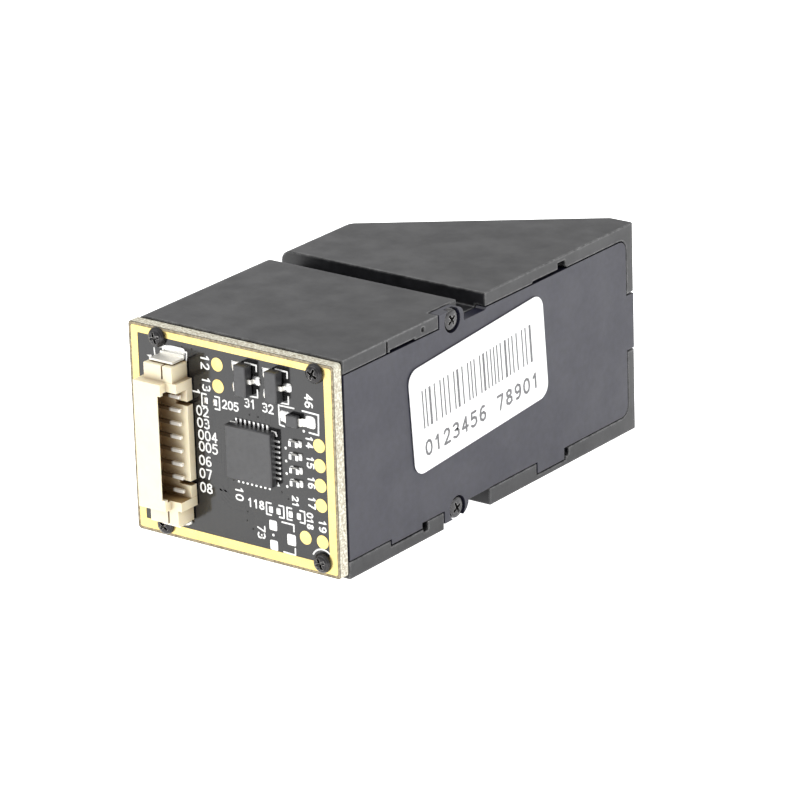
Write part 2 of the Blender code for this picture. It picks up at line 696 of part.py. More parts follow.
# ---------------------------------------------------------------- parts on the outer face
chip_back = BOARD_FACE - SKIN_GAP
for name, middle, size in CHIPS:
    made = extruded(name, centred(middle, size), "Y", chip_back - size[2], chip_back, CHIP_EPOXY)
    bevel = made.modifiers.new("edge", "BEVEL")
    bevel.width = CHIP_CHAMFER * MM
    bevel.segments = 1
    bevel.limit_method = "ANGLE"
for index, z in enumerate(RESISTOR_ZS):
    outline = centred((RESISTOR_X, z), RESISTOR_SIZE)
    extruded(f"resistor_{index + 1}", outline, "Y", chip_back - RESISTOR_SIZE[2], chip_back, CHIP_CERAMIC)

# ---------------------------------------------------------------- label on the cover
label_outline = []
for point in rounded(centred((0.0, 0.0), (LABEL_W, LABEL_H)), (LABEL_CORNER,) * 4, 6):
    along = point.x * math.cos(LABEL_TURN) - point.y * math.sin(LABEL_TURN)
    rise = point.x * math.sin(LABEL_TURN) + point.y * math.cos(LABEL_TURN)
    label_outline.append(Vector((LABEL_MID[0] + along, LABEL_MID[1] + rise)))
extruded("label", label_outline, "X", LABEL_X0, LABEL_X0 + LABEL_T, PAPER)

# ---------------------------------------------------------------- window, prism and touch ring
touch_ring = slant_plate("touch_ring", *RING_OUTER, 0.0, RING_T, RING_STEEL)
cut(touch_ring, slant_plate("ring_opening", *RING_OPENING, -OVERSHOOT, RING_T + 1))

prism_deep = PRISM_RECESS + PRISM_FACE / 2
prism_corners = (
    slant_mid - slant_run * PRISM_FACE / 2 - slant_out * PRISM_RECESS,
    slant_mid + slant_run * PRISM_FACE / 2 - slant_out * PRISM_RECESS,
    slant_mid - slant_out * prism_deep,
)
prism_low = (BODY_H - PRISM_H) / 2
extruded("prism", list(prism_corners), "Z", prism_low, prism_low + PRISM_H, GLASS)

# ---------------------------------------------------------------- camera side, on the board's inner face
sensor_face = BOARD_BACK + GAP
inner_parts = (
    ("image_sensor", (LENS_X, LENS_Z), (SENSOR_W, SENSOR_W, 0.8), CHIP_EPOXY),
    ("flash_chip", (16.6, 6.0), (4.0, 5.0, 1.4), CHIP_EPOXY),
    ("crystal", (16.6, 13.0), (2.5, 3.2, 0.8), CRYSTAL_CAN),
)
for name, middle, size, paint in inner_parts:
    extruded(name, centred(middle, size), "Y", sensor_face, sensor_face + size[2], paint)

lens_axis = (LENS_X, LENS_Z)
flange = centred(lens_axis, (2 * HOLDER_HALF, 2 * HOLDER_HALF))
barrel_y0 = sensor_face + HOLDER_FLANGE - 0.4
holder_y1 = sensor_face + HOLDER_L
sensor_room = centred(lens_axis, (SENSOR_ROOM_W, SENSOR_ROOM_W))
lens_holder = extruded("lens_holder", flange, "Y", sensor_face, sensor_face + HOLDER_FLANGE, HOLDER_ABS)
join(lens_holder, extruded("barrel", circle(lens_axis, BARREL_R, 28), "Y", barrel_y0, holder_y1))
cut(lens_holder, extruded("sensor_room", sensor_room, "Y", sensor_face - 1, sensor_face + SENSOR_ROOM_D))
bore = circle(lens_axis, BARREL_BORE_R, 28)
cut(lens_holder, extruded("barrel_bore", bore, "Y", sensor_face - 1, holder_y1 + 1))

filter_outline = centred(lens_axis, (FILTER_W, FILTER_W))
filter_span = (sensor_face + FILTER_Y[0], sensor_face + FILTER_Y[1])
extruded("ir_filter", filter_outline, "Y", *filter_span, FILTER_GLASS)

lens_radius = BARREL_BORE_R - GAP
lens_rings = 6
lens_profile = []
for step in range(lens_rings + 1):
    share = step / lens_rings
    lens_profile.append((lens_radius * share, LENS_EDGE + LENS_BULGE * (1 - share * share)))
lens_profile += [(radius, -height) for radius, height in reversed(lens_profile)]
along_y = (-math.pi / 2, 0.0, 0.0)
place("lens", turned_mesh("lens", lens_profile, 28), LENS_GLASS, (LENS_X, LENS_Y, LENS_Z), along_y)

# ---------------------------------------------------------------- lamp side, beside the prism
extruded("lamp_board", rectangle(*zip(LAMP_BOARD_Y, LAMP_BOARD_Z)), "X", *LAMP_BOARD_X, LAMP_BOARD)
for row, y in enumerate(LAMP_YS):
    for column, z in enumerate(LAMP_ZS):
        number = row * len(LAMP_ZS) + column + 1
        extruded(f"lamp_{number}", centred((y, z), LAMP_SIZE), "X", *LAMP_X, LAMP_EPOXY)
extruded("diffuser", rectangle(*zip(DIFFUSER_Y, DIFFUSER_Z)), "X", *DIFFUSER_X, MILKY)

# Flat cable from the circuit board to the lamp board, along the inside of the cover
left_edge = []
right_edge = []
for index, spot in enumerate(CABLE_ROUTE):
    behind = Vector(CABLE_ROUTE[max(index - 1, 0)])
    ahead = Vector(CABLE_ROUTE[min(index + 1, len(CABLE_ROUTE) - 1)])
    run = (ahead - behind).normalized()
    side = Vector((-run.y, run.x)) * CABLE_T / 2
    left_edge.append(Vector(spot) + side)
    right_edge.append(Vector(spot) - side)
extruded("lamp_cable", left_edge + list(reversed(right_edge)), "Z", *CABLE_Z, POLYIMIDE)
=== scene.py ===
import math

import bmesh
import bpy
from mathutils import Matrix, Vector


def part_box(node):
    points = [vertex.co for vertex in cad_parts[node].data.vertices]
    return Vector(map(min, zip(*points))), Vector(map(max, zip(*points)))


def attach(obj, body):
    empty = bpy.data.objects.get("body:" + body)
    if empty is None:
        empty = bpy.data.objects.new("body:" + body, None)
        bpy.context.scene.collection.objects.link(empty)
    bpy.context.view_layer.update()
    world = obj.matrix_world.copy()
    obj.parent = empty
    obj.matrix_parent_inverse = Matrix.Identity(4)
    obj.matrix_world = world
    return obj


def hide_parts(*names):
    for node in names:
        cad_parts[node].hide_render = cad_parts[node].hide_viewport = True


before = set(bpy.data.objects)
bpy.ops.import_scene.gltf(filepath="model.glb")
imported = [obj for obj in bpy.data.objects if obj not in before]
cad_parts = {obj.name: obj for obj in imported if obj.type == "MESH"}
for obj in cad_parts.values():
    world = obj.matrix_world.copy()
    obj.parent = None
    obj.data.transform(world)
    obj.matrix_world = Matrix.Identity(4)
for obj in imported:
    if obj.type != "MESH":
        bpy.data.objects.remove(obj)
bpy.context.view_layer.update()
scene = bpy.context.scene

# All shapes here are in the module's own millimetres: X to the cover side, Y from the circuit
# board to the window end, Z up. Y and Z count from the housing's low corner, X from just inside it.
MM = 0.001
HOUSING_LOW_X = -0.75
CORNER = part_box("housing")[0] - Vector((HOUSING_LOW_X, 0.0, 0.0)) * MM
MODULE = Matrix.Translation(CORNER) @ Matrix.Scale(MM, 4)


def in_module(node):
    """A CAD node's low and high corner in module millimetres."""
    low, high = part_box(node)
    return (low - CORNER) / MM, (high - CORNER) / MM


def middle_of(node):
    """The middle of a CAD node's box in module millimetres."""
    low, high = in_module(node)
    return (low + high) / 2


# ---------------------------------------------------------------- camera and light
# The camera's target, direction, roll and distance, its slide to the right and up, and its lens
AIM = MODULE @ Vector((11.5, 20.0, 10.0))
AZIMUTH = math.radians(37.4)
ELEVATION = math.radians(20.38)
ROLL = math.radians(-1.84)
DISTANCE = 446.7 * MM
SLIDE = (1.01 * MM, -1.787 * MM)
FOCAL = 224.9
SKY_STRENGTH = 0.97
FLOOR_GLOW = 1.22

back = Vector((
    math.sin(AZIMUTH) * math.cos(ELEVATION),
    -math.cos(AZIMUTH) * math.cos(ELEVATION),
    math.sin(ELEVATION),
))
level = Vector((0.0, 0.0, 1.0)).cross(back).normalized()
upright = back.cross(level)
right = level * math.cos(ROLL) + upright * math.sin(ROLL)
up = upright * math.cos(ROLL) - level * math.sin(ROLL)

camera = bpy.data.objects.new("camera", bpy.data.cameras.new("camera"))
camera.data.lens = FOCAL
camera.data.clip_start = 0.01
camera.data.clip_end = 20.0
place = AIM + back * DISTANCE + right * SLIDE[0] + up * SLIDE[1]
camera.matrix_world = Matrix.Translation(place) @ Matrix((right, up, back)).transposed().to_4x4()
scene.collection.objects.link(camera)
scene.camera = camera
scene.view_settings.view_transform = "Standard"


def softbox(name, azimuth, elevation, distance, size, power):
    """A square area light that faces the object from this direction."""
    turn = math.radians(azimuth)
    rise = math.radians(elevation)
    away = Vector((math.sin(turn) * math.cos(rise), -math.cos(turn) * math.cos(rise), math.sin(rise)))
    lamp = bpy.data.lights.new(name, "AREA")
    lamp.size = size
    lamp.energy = power
    made = bpy.data.objects.new(name, lamp)
    made.location = AIM + away * distance
    made.rotation_euler = away.to_track_quat("Z", "Y").to_euler()
    scene.collection.objects.link(made)


softbox("key_light", -40.0, 50.0, 0.30, 0.30, 0.25)
softbox("top_light", 120.0, 70.0, 0.35, 0.30, 0.1)

world = bpy.data.worlds.new("studio")
world.use_nodes = True
sky = world.node_tree.nodes["Background"]
sky.inputs["Color"].default_value = (1.0, 1.0, 1.0, 1.0)
sky.inputs["Strength"].default_value = SKY_STRENGTH
scene.world = world


# ---------------------------------------------------------------- materials
class Paint:
    """One material's Principled shader, with short ways to add procedural detail in millimetres."""

    def __init__(self, name, colour, roughness, metallic=0.0, **sockets):
        self.made = bpy.data.materials.new(name)
        self.made.use_nodes = True
        self.tree = self.made.node_tree
        self.shader = self.tree.nodes["Principled BSDF"]
        self.shader.inputs["Base Color"].default_value = (*colour, 1.0)
        self.shader.inputs["Roughness"].default_value = roughness
        self.shader.inputs["Metallic"].default_value = metallic
        for socket, value in sockets.items():
            self.shader.inputs[socket.replace("_", " ")].default_value = value
        place_node = self.node("ShaderNodeTexCoord")
        in_mm = self.node("ShaderNodeVectorMath")
        in_mm.operation = "SCALE"
        in_mm.inputs["Scale"].default_value = 1.0 / MM
        self.link(place_node.outputs["Object"], in_mm.inputs[0])
        self.position = in_mm.outputs[0]
        self.last_bump = None

    def node(self, kind):
        return self.tree.nodes.new(kind)

    def link(self, source, target):
        self.tree.links.new(source, target)

    def stretched(self, stretch):
        """The position in millimetres, scaled along each axis."""
        if stretch is None:
            return self.position
        product = self.node("ShaderNodeVectorMath")
        product.operation = "MULTIPLY"
        product.inputs[1].default_value = stretch
        self.link(self.position, product.inputs[0])
        return product.outputs[0]

    def noise(self, per_mm, detail=3.0, stretch=None):
        made = self.node("ShaderNodeTexNoise")
        made.inputs["Scale"].default_value = per_mm
        made.inputs["Detail"].default_value = detail
        self.link(self.stretched(stretch), made.inputs["Vector"])
        return made.outputs["Fac"]

    def spread(self, source, low, high, start=0.3, end=0.7):
        """The source's span from start to end, mapped to low to high."""
        made = self.node("ShaderNodeMapRange")
        made.inputs["From Min"].default_value = start
        made.inputs["From Max"].default_value = end
        made.inputs["To Min"].default_value = low
        made.inputs["To Max"].default_value = high
        self.link(source, made.inputs["Value"])
        return made.outputs["Result"]

    def mixed(self, share, first, second):
        """A colour between two, by share. Each is a colour or another node's output."""
        made = self.node("ShaderNodeMix")
        made.data_type = "RGBA"
        self.link(share, made.inputs["Factor"])
        for socket, value in ((made.inputs[6], first), (made.inputs[7], second)):
            if isinstance(value, tuple):
                socket.default_value = (*value, 1.0)
            else:
                self.link(value, socket)
        return made.outputs[2]

    def colour(self, source):
        self.link(source, self.shader.inputs["Base Color"])

    def roughness(self, source):
        self.link(source, self.shader.inputs["Roughness"])

    def bump(self, source, height_mm):
        """Relief of this height. Several add up."""
        made = self.node("ShaderNodeBump")
        made.inputs["Distance"].default_value = height_mm * MM
        made.inputs["Strength"].default_value = 1.0
        self.link(source, made.inputs["Height"])
        if self.last_bump is not None:
            self.link(self.last_bump, made.inputs["Normal"])
        self.last_bump = made.outputs["Normal"]
        self.link(self.last_bump, self.shader.inputs["Normal"])

    def worn_and_highlit_edges(self, base, worn_and_highlit, radius_mm):
        """The base colour, lighter where an edge is close: partly scuffed edges, partly a painted highlight.
        """
        soft = self.node("ShaderNodeBevel")
        soft.inputs["Radius"].default_value = radius_mm * MM
        flat = self.node("ShaderNodeNewGeometry")
        same = self.node("ShaderNodeVectorMath")
        same.operation = "DOT_PRODUCT"
        self.link(soft.outputs["Normal"], same.inputs[0])
        self.link(flat.outputs["True Normal"], same.inputs[1])
        edge = self.spread(same.outputs["Value"], 1.0, 0.0, 0.80, 0.995)
        patchy = self.spread(self.noise(1.6), 0.15, 0.8)
        share = self.node("ShaderNodeMath")
        share.operation = "MULTIPLY"
        self.link(edge, share.inputs[0])
        self.link(patchy, share.inputs[1])
        return self.mixed(share.outputs[0], base, worn_and_highlit)


def moulded_plastic(name, dark, light, rubbed_and_highlit, grain_mm=0.0035, wear_and_highlight_mm=0.14):
    """Spark-eroded black plastic: fine grain, slow waves, uneven sheen, and lighter edges, partly scuffed and
    partly a painted highlight.
    """
    paint = Paint(name, dark, 0.4, Specular_IOR_Level=0.5)
    body = paint.mixed(paint.spread(paint.noise(1.6, 8.0), 0.0, 1.0), dark, light)
    paint.colour(paint.worn_and_highlit_edges(body, (rubbed_and_highlit, rubbed_and_highlit, rubbed_and_highlit), wear_and_highlight_mm))
    paint.roughness(paint.spread(paint.noise(0.3, 10.0), 0.38, 0.46, 0.38, 0.62))
    paint.bump(paint.noise(9.0, 4.0), grain_mm)
    paint.bump(paint.noise(0.3, 2.0), 0.012)
    return paint.made


def solder_mask():
    """Glossy black lacquer over glass cloth, whose weave just shows."""
    paint = Paint("solder_mask", (0.012, 0.012, 0.013), 0.16, Coat_Weight=0.22)
    paint.shader.inputs["Coat Roughness"].default_value = 0.08
    paint.colour(paint.mixed(paint.noise(0.5, 4.0), (0.004, 0.004, 0.004), (0.010, 0.010, 0.011)))
    paint.roughness(paint.spread(paint.noise(1.1, 5.0), 0.10, 0.20))
    weave = paint.node("ShaderNodeTexWave")
    weave.inputs["Scale"].default_value = 0.5
    weave.inputs["Distortion"].default_value = 1.5
    paint.link(paint.position, weave.inputs["Vector"])
    paint.bump(weave.outputs["Fac"], 0.0015)
    paint.bump(paint.noise(3.0, 3.0), 0.002)
    return paint.made


def board_edge(name, dark, light):
    """Routed glass laminate: pale layers, resin streaks and torn fibre ends."""
    paint = Paint(name, light, 0.75)
    layers = paint.noise(2.2, 5.0, (1.0, 5.0, 1.0))
    body = paint.mixed(paint.spread(layers, 0.0, 1.0), dark, light)
    torn = tuple(min(0.8, 1.3 * c) for c in light)
    paint.colour(paint.mixed(paint.spread(paint.noise(4.5, 3.0), 0.0, 0.9, 0.46, 0.62), body, torn))
    paint.bump(paint.noise(5.0, 5.0), 0.05)
    return paint.made


def gold_plating():
    """Flat nickel-gold finish with a faint orange peel."""
    paint = Paint("gold_plating", (0.80, 0.64, 0.28), 0.3, 1.0)
    paint.colour(paint.mixed(paint.noise(0.7, 4.0), (0.72, 0.55, 0.19), (0.84, 0.67, 0.29)))
    paint.roughness(paint.spread(paint.noise(4.0, 4.0), 0.24, 0.42))
    paint.bump(paint.noise(6.0, 3.0), 0.0025)
    return paint.made


def white_ink():
    """Silk-screened ink, thin at its edges and a little speckled."""
    paint = Paint("white_ink", (0.86, 0.86, 0.84), 0.55)
    speckle = paint.spread(paint.noise(9.0, 3.0), 0.0, 1.0)
    paint.colour(paint.mixed(speckle, (0.70, 0.70, 0.69), (0.92, 0.92, 0.90)))
    paint.bump(paint.noise(12.0, 3.0), 0.003)
    return paint.made


def tin_solder():
    """Bright reflowed solder, wavy and a little frosted."""
    paint = Paint("tin_solder", (0.83, 0.83, 0.82), 0.28, 1.0)
    paint.colour(paint.mixed(paint.noise(2.0, 4.0), (0.70, 0.70, 0.70), (0.92, 0.92, 0.90)))
    paint.roughness(paint.spread(paint.noise(3.0, 4.0), 0.18, 0.45))
    paint.bump(paint.noise(2.5, 3.0), 0.012)
    return paint.made


def nylon(name, dark, light, painted_shade):
    """Ivory nylon that lets some light through, with painted brown shade where other surfaces are close."""
    paint = Paint(name, light, 0.4, Subsurface_Weight=0.25)
    paint.shader.inputs["Subsurface Scale"].default_value = 0.6 * MM
    paint.shader.inputs["Subsurface Radius"].default_value = (1.0, 0.7, 0.35)
    near = paint.node("ShaderNodeAmbientOcclusion")
    near.inputs["Distance"].default_value = 2.6 * MM
    body = paint.mixed(paint.noise(0.5, 4.0), dark, light)
    # Painted shade: brown where ambient occlusion finds surfaces close by.
    paint.colour(paint.mixed(paint.spread(near.outputs["AO"], 0.0, 1.0, 0.15, 0.85), painted_shade, body))
    paint.roughness(paint.spread(paint.noise(0.9, 4.0), 0.32, 0.5))
    paint.bump(paint.noise(7.0, 3.0), 0.003)
    return paint.made


def tinned_contact(shade_until_x=None):
    """Drawn brass strip under bright tin, with draw lines along X. Up to a given X it carries painted dark
    brown shade.
    """
    paint = Paint("tinned_contact", (0.92, 0.90, 0.84), 0.4, 0.6)
    bright = paint.mixed(paint.noise(1.5, 3.0), (0.86, 0.83, 0.75), (0.96, 0.95, 0.91))
    paint.colour(bright)
    if shade_until_x is not None:
        parts = paint.node("ShaderNodeSeparateXYZ")
        paint.link(paint.position, parts.inputs[0])
        start = (MODULE @ Vector((shade_until_x, 0.0, 0.0))).x / MM
        # Painted shade: dark brown on the part of each contact that lies under the housing's front wall.
        share = paint.spread(parts.outputs["X"], 0.0, 1.0, start, start + 0.25)
        paint.colour(paint.mixed(share, (0.14, 0.09, 0.045), bright))
    paint.roughness(paint.spread(paint.noise(6.0, 3.0, (0.2, 1.0, 1.0)), 0.32, 0.5))
    paint.bump(paint.noise(14.0, 2.0, (0.1, 1.0, 1.0)), 0.002)
    return paint.made


def black_zinc(name, dark, light):
    """Black zinc plating on steel, scuffed bright where the driver and the edges rub, with a painted
    highlight along the same edges.
    """
    paint = Paint(name, dark, 0.3, 0.85)
    body = paint.mixed(paint.noise(1.5, 4.0), dark, light)
    paint.colour(paint.worn_and_highlit_edges(body, (0.75, 0.73, 0.70), 0.09))
    paint.roughness(paint.spread(paint.noise(3.0, 4.0), 0.16, 0.35))
    paint.bump(paint.noise(8.0, 3.0), 0.003)
    return paint.made


def epoxy():
    """Filled moulding compound with a fine matte grain."""
    paint = Paint("epoxy", (0.03, 0.03, 0.031), 0.45, Specular_IOR_Level=0.8)
    paint.colour(paint.mixed(paint.noise(0.8, 5.0), (0.012, 0.012, 0.014), (0.026, 0.026, 0.028)))
    paint.roughness(paint.spread(paint.noise(2.5, 4.0), 0.34, 0.5))
    paint.bump(paint.noise(14.0, 4.0), 0.003)
    return paint.made


def coated_paper():
    """Coated label stock with a faint fibre and a low gloss."""
    paint = Paint("coated_paper", (0.88, 0.88, 0.89), 0.4)
    paint.colour(paint.mixed(paint.noise(1.2, 6.0), (0.84, 0.84, 0.85), (0.92, 0.92, 0.92)))
    paint.roughness(paint.spread(paint.noise(2.0, 4.0), 0.35, 0.5))
    paint.bump(paint.noise(5.0, 5.0, (1.0, 0.5, 1.0)), 0.004)
    return paint.made


def print_ink():
    """Grey-black thermal print with pinholes."""
    paint = Paint("print_ink", (0.03, 0.03, 0.03), 0.5)
    gaps = paint.spread(paint.noise(11.0, 2.0), 0.0, 1.0, 0.6, 0.72)
    paint.colour(paint.mixed(gaps, (0.11, 0.11, 0.115), (0.5, 0.5, 0.5)))
    paint.bump(paint.noise(10.0, 2.0), 0.002)
    return paint.made


def clear_glass(name, tint):
    """Polished glass with a thin uneven film of dust."""
    paint = Paint(name, tint, 0.02, Transmission_Weight=1.0, IOR=1.52)
    paint.roughness(paint.spread(paint.noise(0.6, 6.0), 0.0, 0.05))
    paint.bump(paint.noise(0.3, 2.0), 0.002)
    return paint.made


def brushed_steel():
    """Thin stainless sheet, brushed along Z."""
    paint = Paint("brushed_steel", (0.3, 0.3, 0.31), 0.3, 1.0)
    lines = paint.noise(9.0, 4.0, (1.0, 1.0, 0.05))
    paint.colour(paint.mixed(lines, (0.22, 0.225, 0.23), (0.34, 0.34, 0.345)))
    paint.roughness(paint.spread(lines, 0.2, 0.42))
    paint.bump(lines, 0.003)
    return paint.made


def light_table():
    """A pale diffusing sheet, lit from below, with a slight cloudiness."""
    paint = Paint("light_table", (0.9, 0.9, 0.9), 0.6)
    paint.colour(paint.mixed(paint.noise(0.02, 3.0), (0.88, 0.88, 0.88), (0.93, 0.93, 0.93)))
    paint.roughness(paint.spread(paint.noise(0.05, 3.0), 0.5, 0.7))
    paint.shader.inputs["Emission Color"].default_value = (1.0, 1.0, 1.0, 1.0)
    paint.shader.inputs["Emission Strength"].default_value = FLOOR_GLOW
    return paint.made


def speckled(name, colour, roughness, metallic=0.0, **sockets):
    """A plain finish with small changes of tone and gloss and a light grain."""
    paint = Paint(name, colour, roughness, metallic, **sockets)
    dark = tuple(0.86 * c for c in colour)
    light = tuple(min(1.0, 1.1 * c) for c in colour)
    paint.colour(paint.mixed(paint.noise(1.2, 4.0), dark, light))
    paint.roughness(paint.spread(paint.noise(4.0, 4.0), 0.8 * roughness, min(1.0, 1.25 * roughness)))
    paint.bump(paint.noise(12.0, 3.0), 0.003)
    return paint.made


SHADE_END_X = in_module("contact_1")[1].x - 1.2       # painted shade on the contacts up to here; they are bright from here to their tips

# Each plastic's lighter edge colour is partly scuffing and partly a painted highlight.
BODY_PLASTIC = moulded_plastic("body_plastic", (0.003, 0.003, 0.004), (0.010, 0.010, 0.012), 0.3, 0.006, 0.32)
COVER_PLASTIC = moulded_plastic("cover_plastic", (0.006, 0.006, 0.016), (0.012, 0.012, 0.026), 0.08, 0.0025)
HOLDER_PLASTIC = moulded_plastic("holder_plastic", (0.003, 0.003, 0.003), (0.008, 0.008, 0.008), 0.05)
MASK = solder_mask()
LAMINATE = board_edge("board_edge", (0.30, 0.25, 0.16), (0.64, 0.61, 0.51))
RIM_LAMINATE = board_edge("rim_laminate", (0.16, 0.125, 0.07), (0.30, 0.25, 0.16))
GOLD = gold_plating()
INK = white_ink()
SOLDER = tin_solder()
NYLON = nylon("nylon", (0.76, 0.68, 0.48), (0.83, 0.76, 0.58), (0.20, 0.115, 0.045))
# Browner nylon for the connector's mouth: painted shade.
MOUTH_SHADE_NYLON = nylon("mouth_nylon_painted_shade", (0.36, 0.235, 0.10), (0.46, 0.32, 0.15), (0.12, 0.06, 0.02))
CONTACT = tinned_contact()
# Contacts with painted shade on their inner part.
SHADED_CONTACT = tinned_contact(SHADE_END_X)
ZINC = black_zinc("black_zinc", (0.015, 0.015, 0.016), (0.05, 0.048, 0.05))
GREY_ZINC = black_zinc("grey_zinc", (0.03, 0.03, 0.032), (0.09, 0.088, 0.09))
EPOXY = epoxy()
PAPER = coated_paper()
PRINT = print_ink()
PRISM_GLASS = clear_glass("prism_glass", (0.93, 0.97, 0.99))
LENS_GLASS = clear_glass("lens_glass", (0.9, 0.95, 1.0))
FILTER_GLASS = clear_glass("filter_glass", (0.45, 0.8, 0.75))
STEEL = brushed_steel()
HOLE = speckled("hole_shade", (0.004, 0.004, 0.004), 0.6)
CERAMIC = speckled("ceramic", (0.75, 0.74, 0.7), 0.5)
LAMP_MASK = speckled("lamp_mask", (0.75, 0.75, 0.72), 0.45)
LAMP_LENS = speckled("lamp_lens", (0.85, 0.85, 0.6), 0.25, Subsurface_Weight=0.2, Subsurface_Scale=0.3 * MM)
ACRYLIC = speckled("acrylic", (0.85, 0.87, 0.9), 0.4, Transmission_Weight=0.5)
CAN = speckled("crystal_can", (0.68, 0.69, 0.7), 0.25, 1.0)
FILM = speckled("polyimide", (0.55, 0.24, 0.03), 0.3)
FLOOR = light_table()


# ---------------------------------------------------------------- shapes
def bridge(bm, first, second):
    """Faces between two rings that have as many corners."""
    for index in range(len(first)):
        ahead = (index + 1) % len(first)
        bm.faces.new((first[index], first[ahead], second[ahead], second[index]))


def prism(bm, outline, start, end, axis):
    """A closed solid from a 2-D outline: (X, Z) pushed along Y, (Y, Z) along X or (X, Y) along Z."""
    order = {"X": (1, 2, 0), "Y": (0, 2, 1), "Z": (0, 1, 2)}[axis]
    rings = []
    for depth in (start, end):
        ring = []
        for point in outline:
            corner = [0.0, 0.0, 0.0]
            corner[order[0]], corner[order[1]] = point[0], point[1]
            corner[order[2]] = depth
            ring.append(bm.verts.new(corner))
        rings.append(ring)
    for ring in rings:
        bm.faces.new(ring)
    bridge(bm, *rings)


def rounded(points, radius, steps=6):
    """The outline through these corners, each one rounded by the same radius."""
    outline = []
    for index, corner in enumerate(points):
        here = Vector(corner)
        before = (Vector(points[index - 1]) - here).normalized()
        after = (Vector(points[(index + 1) % len(points)]) - here).normalized()
        half = before.angle(after) / 2
        middle = here + (before + after).normalized() * radius / math.sin(half)
        first = here + before * radius / math.tan(half) - middle
        last = here + after * radius / math.tan(half) - middle
        sweep = -first.angle_signed(last)
        for step in range(steps + 1):
            turn = Matrix.Rotation(sweep * step / steps, 2)
            outline.append(middle + turn @ first)
    return outline


def rectangle(middle, width, height):
    x, z = middle
    return [
        (x - width / 2, z - height / 2),
        (x + width / 2, z - height / 2),
        (x + width / 2, z + height / 2),
        (x - width / 2, z + height / 2),
    ]


def circle(middle, radius, segments=32):
    turns = [math.tau * step / segments for step in range(segments)]
    return [(middle[0] + radius * math.cos(turn), middle[1] + radius * math.sin(turn)) for turn in turns]


def ribbon(points, width):
    """The outline of a pen stroke through these points, with round ends."""
    points = [Vector(point) for point in points]
    half = width / 2
    left = []
    right_side = []
    for index, here in enumerate(points):
        before = (here - points[index - 1]).normalized() if index else None
        after = (points[index + 1] - here).normalized() if index + 1 < len(points) else None
        run = before if after is None else after if before is None else (before + after).normalized()
        reach = half if before is None or after is None else half / max(0.5, run.dot(after))
        side = Vector((-run.y, run.x)) * reach
        left.append(here + side)
        right_side.append(here - side)
    caps = []
    for end, run in ((points[-1], points[-1] - points[-2]), (points[0], points[0] - points[1])):
        ahead = math.atan2(run.y, run.x)
        turns = [ahead + math.pi / 2 - math.pi * step / 6 for step in range(1, 6)]
        caps.append([end + Vector((math.cos(turn), math.sin(turn))) * half for turn in turns])
    return left + caps[0] + list(reversed(right_side)) + caps[1]


DIGITS = {
    "0": [[(0.3, 0), (0.09, 0.1), (0, 0.35), (0, 0.65), (0.09, 0.9), (0.3, 1), (0.51, 0.9), (0.6, 0.65),
           (0.6, 0.35), (0.51, 0.1), (0.3, 0)]],
    "1": [[(0.1, 0.78), (0.33, 1), (0.33, 0)]],
    "2": [[(0.02, 0.8), (0.12, 0.95), (0.3, 1), (0.5, 0.93), (0.57, 0.74), (0.48, 0.5), (0, 0), (0.6, 0)]],
    "3": [[(0.04, 0.92), (0.3, 1), (0.53, 0.9), (0.55, 0.68), (0.42, 0.54), (0.2, 0.53)],
          [(0.42, 0.54), (0.6, 0.4), (0.58, 0.13), (0.3, 0), (0.02, 0.1)]],
    "4": [[(0.44, 0), (0.44, 1), (0, 0.3), (0.62, 0.3)]],
    "5": [[(0.55, 1), (0.08, 1), (0.04, 0.56), (0.3, 0.63), (0.54, 0.5), (0.58, 0.22), (0.4, 0.02), (0.15, 0),
           (0, 0.1)]],
    "6": [[(0.5, 0.96), (0.3, 1), (0.1, 0.84), (0, 0.5), (0.05, 0.14), (0.3, 0), (0.55, 0.12), (0.58, 0.38),
           (0.4, 0.57), (0.15, 0.53), (0.01, 0.36)]],
    "7": [[(0, 1), (0.6, 1), (0.25, 0)]],
    "8": [[(0.3, 0.54), (0.08, 0.67), (0.06, 0.88), (0.3, 1), (0.54, 0.88), (0.52, 0.67), (0.3, 0.54),
           (0.03, 0.38), (0.02, 0.12), (0.3, 0), (0.58, 0.12), (0.57, 0.38), (0.3, 0.54)]],
    "9": [[(0.1, 0.04), (0.3, 0), (0.5, 0.16), (0.6, 0.5), (0.55, 0.86), (0.3, 1), (0.05, 0.88), (0.02, 0.62),
           (0.2, 0.43), (0.45, 0.47), (0.59, 0.64)]],
}


def written(digits, middle, height, turn=0.0, pitch=0.88):
    """Pen strokes for digits, centred on the middle, turned by degrees, their pitch a share of the height."""
    strokes = []
    width = pitch * (len(digits) - 1) + 0.6
    rotation = Matrix.Rotation(math.radians(turn), 2)
    for index, digit in enumerate(digits):
        for stroke in DIGITS.get(digit, []):
            local = [Vector((x + pitch * index - width / 2, z - 0.5)) * height for x, z in stroke]
            strokes.append([Vector(middle) + rotation @ point for point in local])
    return strokes


MOUND_LEVELS = 4
MOUND_SEGMENTS = 20


def mound(bm, middle, width, height, rise, base, squareness=0.5):
    """A soft heap of solder on the board's face: a rounded rectangle that shrinks as it rises."""
    rings = []
    for step in range(MOUND_LEVELS + 1):
        share = step / MOUND_LEVELS
        shrink = math.sqrt(1.0 - share * share) if step < MOUND_LEVELS else 0.25
        ring = []
        for corner in range(MOUND_SEGMENTS):
            turn = math.tau * corner / MOUND_SEGMENTS
            across = math.copysign(abs(math.cos(turn)) ** squareness, math.cos(turn))
            along = math.copysign(abs(math.sin(turn)) ** squareness, math.sin(turn))
            x = middle[0] + across * width / 2 * shrink
            z = middle[1] + along * height / 2 * shrink
            ring.append(bm.verts.new((x, base - rise * share, z)))
        rings.append(ring)
    bm.faces.new(rings[0])
    bm.faces.new(rings[-1])
    for lower, upper in zip(rings, rings[1:]):
        bridge(bm, lower, upper)


